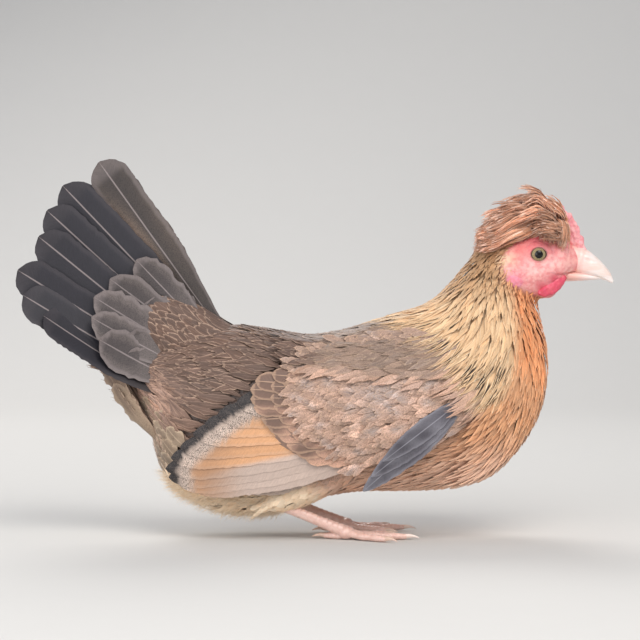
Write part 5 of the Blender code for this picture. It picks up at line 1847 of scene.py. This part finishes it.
class HEN_OT_tail(bpy.types.Operator):
    """Tail in two tented halves, with coverts over its root"""

    bl_idname = "hen.tail"
    bl_label = "Tail"

    def execute(self, context):
        colours, rng = context.scene.hen_colours, chance(context, 8)
        satin = plumage("tail quills", 0.5, 0.05, 0.5, 0.3, 0.7, 0.05)
        silky = plumage("tail coverts", 0.6, 0.25, 0.4, shaft=0.2)
        long = leaf(np.linspace(0, 1, 40) ** 0.8, 9, 0.3, 0.05, 0.88)
        short = leaf(np.linspace(0, 1, 20), 9, 0.4, 0.1, 0.72)

        def quill_look(points):
            look = full_look(points, colours, "tail tail_dark tail_pale", (0.3, 0.05, 0.9, 0.85))
            blend_in(look[:1, ..., :3], 1, colours.tail_top)
            blend_in(look[:1, ..., 9:], 1, (0.2, 0.3, 0.8, 0.4))
            _, rows, wide, _ = look.shape
            along = np.linspace(0, 1, rows)[:, None]
            tan = np.exp(-((along - 0.45) / 0.22) ** 2) * np.linspace(1, 0, wide)
            blend_in(look[:1, ..., :3], tan, colours.saddle_pale)
            root = 1 - ease(np.arange(rows)[:, None] / rows, 0.15, 0.5)
            blend_in(look[..., :3], root * 0.45, colours.tail_top)
            return look

        def covert_look(points):
            look = full_look(points, colours, "tail_top tail_dark tail_pale", (0.4, 0.36, 0.7, 0.6))
            blend_in(look[..., :3], 0.3, colours.tail_pale)
            return lit(rng, look, 0.14)

        coat, strips = Coat("tail_quills"), Strips(TAIL_STRIPS)
        for _, side in SIDES:
            tail_vanes(coat, rng, side, *zip(*RECTRICES), 9.4, 0, 0.16, long, quill_look, strips)
            roots, tips = (np.array(points) for points in zip(*TAIL_COVERTS))
            for reach, half, out in ((1.0, 9.2, 0.9), (0.68, 8, 2.7)):
                ends = roots + (tips - roots) * reach + (0, 0.3, 0)
                ends = ends + rng.uniform(-2.2, 2.2, (5, 3)) * (1, 0, 1)
                tail_vanes(coat, rng, side, roots, ends, half * rng.uniform(0.85, 1.15, 5), out,
                           0.16, short, covert_look, strips, loose=0.14)
        coat.make(satin, "tail_plumage", "tail")

        rows = smooth_rows(TAIL_CORE, 4)[::-1]
        form = swept_form([(x, 0, z) for x, z, _, _ in rows], [(up, out) for _, _, up, out in rows],
                          (0.5, 0, 1), 1)
        coat = Coat("tail_root_feathers")
        grow(coat, rng, colours, form, lambda here: (here[:, 0] < -36) * 1.0, 2.6, 15, 2.6, 1.4,
             tries=30000, point=0.95, rows=8, fringe=5, loose=0.3)
        coat.make(silky, "tail_plumage")

        coat, count = Coat("under_tail_feathers"), 9
        shape = leaf(np.linspace(0, 1, 18) ** 0.8, 9, 0.3, 0.16, 0.74)
        even = np.linspace(-1, 1, count)
        for rows in UNDER_TAIL:
            across = even[:, None] * (0, 1, 0) + rng.normal(0, 0.05, (count, 3))
            root, bend, tip = (np.array(spot) * (1, 0, 1) + across * spot[1] for spot in rows)
            outward = unit(np.array((-0.85, 0, -0.5)) + across * (0, 0.8, 0))
            tip = tip + rng.uniform(-3.2, 3.2, (count, 3)) * (0.8, 0.5, 1)
            look = full_look(tip, colours, "saddle saddle_dark saddle_pale", (0.45, 0.4, 0.6, 0.7))
            blend_in(look[:, :3], 0.3, colours.tail_top)
            blend_in(look[:, :3], 1 - ease(rows[2][2], 66, 100), colours.vent)
            spot = np.stack([0.5 + 0.4 * even, 0 * even + rows[2][2] / 130], -1)
            bent_vanes(coat, rng, root, bend, tip, outward, rng.uniform(4.2, 5.6, count), shape,
                       0.22, tinted(rng, look, 0.12), spot, 40, 0.3)
        coat.make(silky, "tail_plumage")
        # Painted shade: the skin of the tail's root is half the colour of the saddle.
        one_tube("tail_root", form, 40, 40, lambda s, turn, here: 0 * s - 1.6,
                 under_skin("tail root", colours.saddle), "tail_plumage")
        return {"FINISHED"}


# Legs

def toe_rows(side, heading, length):
    """Path and sizes of a toe, with its pads."""
    turn = math.radians(heading) * side
    ahead = np.array((math.cos(turn), math.sin(turn), 0))
    root = np.array((FOOT[0], FOOT[1] * side, 0))
    path, sizes = [root - ahead + (0, 0, 2.9)], [(1.7, 1.9)]
    joints = 3 if length > 12 else 1
    for i in range(joints):
        for at, swell in ((0.35, 1.0), (0.85, 0.84)):
            t = (i + at) / joints
            radius = TOE_RADIUS * swell * (1 - 0.24 * t)
            level = TOE_RADIUS * (1 - 0.24 * t) + 0.05 + 1.2 * max(0, 1 - 3 * t)
            path.append(root + ahead * length * t + (0, 0, level))
            sizes.append((radius * 0.93, radius))
    path.append(root + ahead * (length + 0.6) + (0, 0, 1.6))
    sizes.append((1.05, 0.95))
    return path, sizes, ahead, root


def scuted(pitch, rise, length):
    """Overlapping plates on the front of a shank or the top of a toe, and small bumps below."""
    def swell(s, turn, here):
        step = np.mod(s * length / pitch, 1)
        plate = rise * (step ** 0.6 - 0.5) * (1 - ease(step, 0.9, 1.0))
        front = ease(np.cos(2 * np.pi * (turn - 0.5)), -0.2, 0.5)
        bumps = rise * 0.6 * np.sin(here[..., 0] * 5.2) * np.sin(here[..., 1] * 5.6) * np.sin(
            here[..., 2] * 5.3)
        return plate * front + bumps * (1 - front)
    return swell


class HEN_OT_legs(bpy.types.Operator):
    """Scaly shanks and feet with their claws"""

    bl_idname = "hen.legs"
    bl_label = "Legs"

    def execute(self, context):
        colours = context.scene.hen_colours
        scaly = horn("scaly skin", colours.scale, colours.scale, 0.0, 0.05, colours.scale_deep,
                     (1.6, 1.6, 1.6))
        claw_horn = horn("claws", tone(222, 190, 170), tone(244, 230, 220), 0.03, 0.05,
                         tone(190, 150, 130), (0.6, 0.6, 2.0))
        for name, side in SIDES:
            hock = np.array(HOCK) * (1, side, 1)
            ankle = np.array((FOOT[0], FOOT[1] * side, 3.4))
            path = [hock + (ankle - hock) * t for t in np.linspace(0, 1, 9)]
            sizes = [(SHANK_RADIUS * k, SHANK_RADIUS * k * 0.88) for k in
                     (1.15, 1.02, 0.95, 0.92, 0.92, 0.94, 1.0, 1.08, 1.15)]
            one_tube(f"scaly_shank_{name}", swept_form(path, sizes, (1, 0, 1)), 120, 40,
                     scuted(2.6, 0.3, 36), scaly, "leg_scales", f"shank_{name}", sharp=50)
            for number, (heading, length) in enumerate(TOES):
                path, sizes, ahead, root = toe_rows(side, heading, length)
                nodes = (f"foot_{name}",) if number == 0 else ()
                one_tube(f"toe_{name}_{number + 1}", swept_form(path, sizes, (0, 0, 1)), 110, 36,
                         scuted(1.7, 0.24, length), scaly, "leg_scales", *nodes, sharp=50)
                claw, claw_sizes = [], []
                for t in np.linspace(-0.15, 1, 9):
                    level = 1.75 + 0.35 * math.sin(max(t, 0) * 2.4) - 1.1 * max(t, 0) ** 2.5
                    claw.append(root + ahead * (length + CLAW * t) + (0, 0, level))
                    radius = 1.05 * (1 - max(t, 0)) ** 0.8 + 0.12
                    claw_sizes.append((radius, radius * 0.8))
                one_tube(f"claw_{name}_{number + 1}", swept_form(claw, claw_sizes, (0, 0, 1)), 40,
                         24, None, claw_horn, "horn")
            pad = egg((FOOT[0], FOOT[1] * side, FOOT_PAD[2] + 0.2), FOOT_PAD, 24)
            one_tube(f"foot_pad_{name}", pad, 50, 48, scuted(1.6, 0.2, 8), scaly, "leg_scales")
        return {"FINISHED"}


# Stage

def aimed(scene, name, data, place):
    """A lamp or camera at a place, turned to what the camera looks at."""
    obj = bpy.data.objects.new(name, data)
    obj.location = place
    obj.rotation_euler = (Vector(AIM) - obj.location).to_track_quat("-Z", "Y").to_euler()
    scene.collection.objects.link(obj)
    return obj


class HEN_OT_stage(bpy.types.Operator):
    """Pale floor and backdrop, soft lights and the camera"""

    bl_idname = "hen.stage"
    bl_label = "Stage"

    def execute(self, context):
        scene, colours = context.scene, context.scene.hen_colours
        turns = np.linspace(0, np.pi / 2, 13)
        bend = zip(900 + 600 * np.sin(turns), 600 - 600 * np.cos(turns))
        rows = [(-2500, 0), *bend, (1500, 3000)]
        points = [(x, y, z) for y, z in rows for x in (-3000, 3000)]
        faces = [(2 * i, 2 * i + 1, 2 * i + 3, 2 * i + 2) for i in range(len(rows) - 1)]
        material, tree, inputs = new_material("matt paper", Roughness=0.9)
        grain = noise(tree, node(tree, "TexCoord").outputs["Object"], 60.0, 3.0)
        paper = mixed(tree, times(tree, grain, 0.08), colours.floor, (0.5, 0.49, 0.47))
        tree.links.new(paper, inputs["Base Color"])
        floor = mesh_piece("floor", points, flat(faces), material)

        world = bpy.data.worlds.new("soft room")
        world.use_nodes = True
        room = world.node_tree.nodes["Background"].inputs
        room[0].default_value, room[1].default_value = ROOM_COLOUR, ROOM_LIGHT
        scene.world = world
        for name, place, size, power, colour in LAMPS:
            lamp = bpy.data.lights.new(name, "AREA")
            lamp.energy, lamp.size, lamp.color = power, size, colour
            aimed(scene, name, lamp, place)
        camera = bpy.data.cameras.new("camera")
        camera.lens, camera.clip_start = CAMERA_LENS, 0.05
        away = Vector((0, -math.cos(CAMERA_TILT), math.sin(CAMERA_TILT))) * CAMERA_AWAY
        scene.camera = aimed(scene, "camera", camera, Vector(AIM) + away)
        scene.view_settings.view_transform = "Standard"
        return {"FINISHED"}


STEPS = (HEN_OT_skin, HEN_OT_eyes, HEN_OT_bill, HEN_OT_lobes, HEN_OT_hackle, HEN_OT_body_feathers,
         HEN_OT_crest, HEN_OT_wings, HEN_OT_tail, HEN_OT_legs, HEN_OT_stage)


class HEN_PT_panel(bpy.types.Panel):
    """The hen's pieces and settings"""

    bl_label = "Serama hen"
    bl_space_type = "VIEW_3D"
    bl_region_type = "UI"
    bl_category = "Hen"

    def draw(self, context):
        layout = self.layout
        for step in STEPS:
            layout.operator(step.bl_idname)
        for settings in (context.scene.hen_sizes, context.scene.hen_colours):
            column = layout.column()
            for key in settings.__annotations__:
                column.prop(settings, key)


CLASSES = (HenColours, HenSizes, *STEPS, HEN_PT_panel)


def register():
    for cls in CLASSES:
        bpy.utils.register_class(cls)
    bpy.types.Scene.hen_colours = bpy.props.PointerProperty(type=HenColours)
    bpy.types.Scene.hen_sizes = bpy.props.PointerProperty(type=HenSizes)


def unregister():
    del bpy.types.Scene.hen_colours
    del bpy.types.Scene.hen_sizes
    for cls in reversed(CLASSES):
        bpy.utils.unregister_class(cls)


def main():
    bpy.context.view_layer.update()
    register()
    for build_group in (barb_group, vane_group, skin_group, horn_group):
        build_group()
    for step in STEPS:
        family, step_name = step.bl_idname.split(".")
        getattr(getattr(bpy.ops, family), step_name)()


if __name__ == "__main__":
    main()
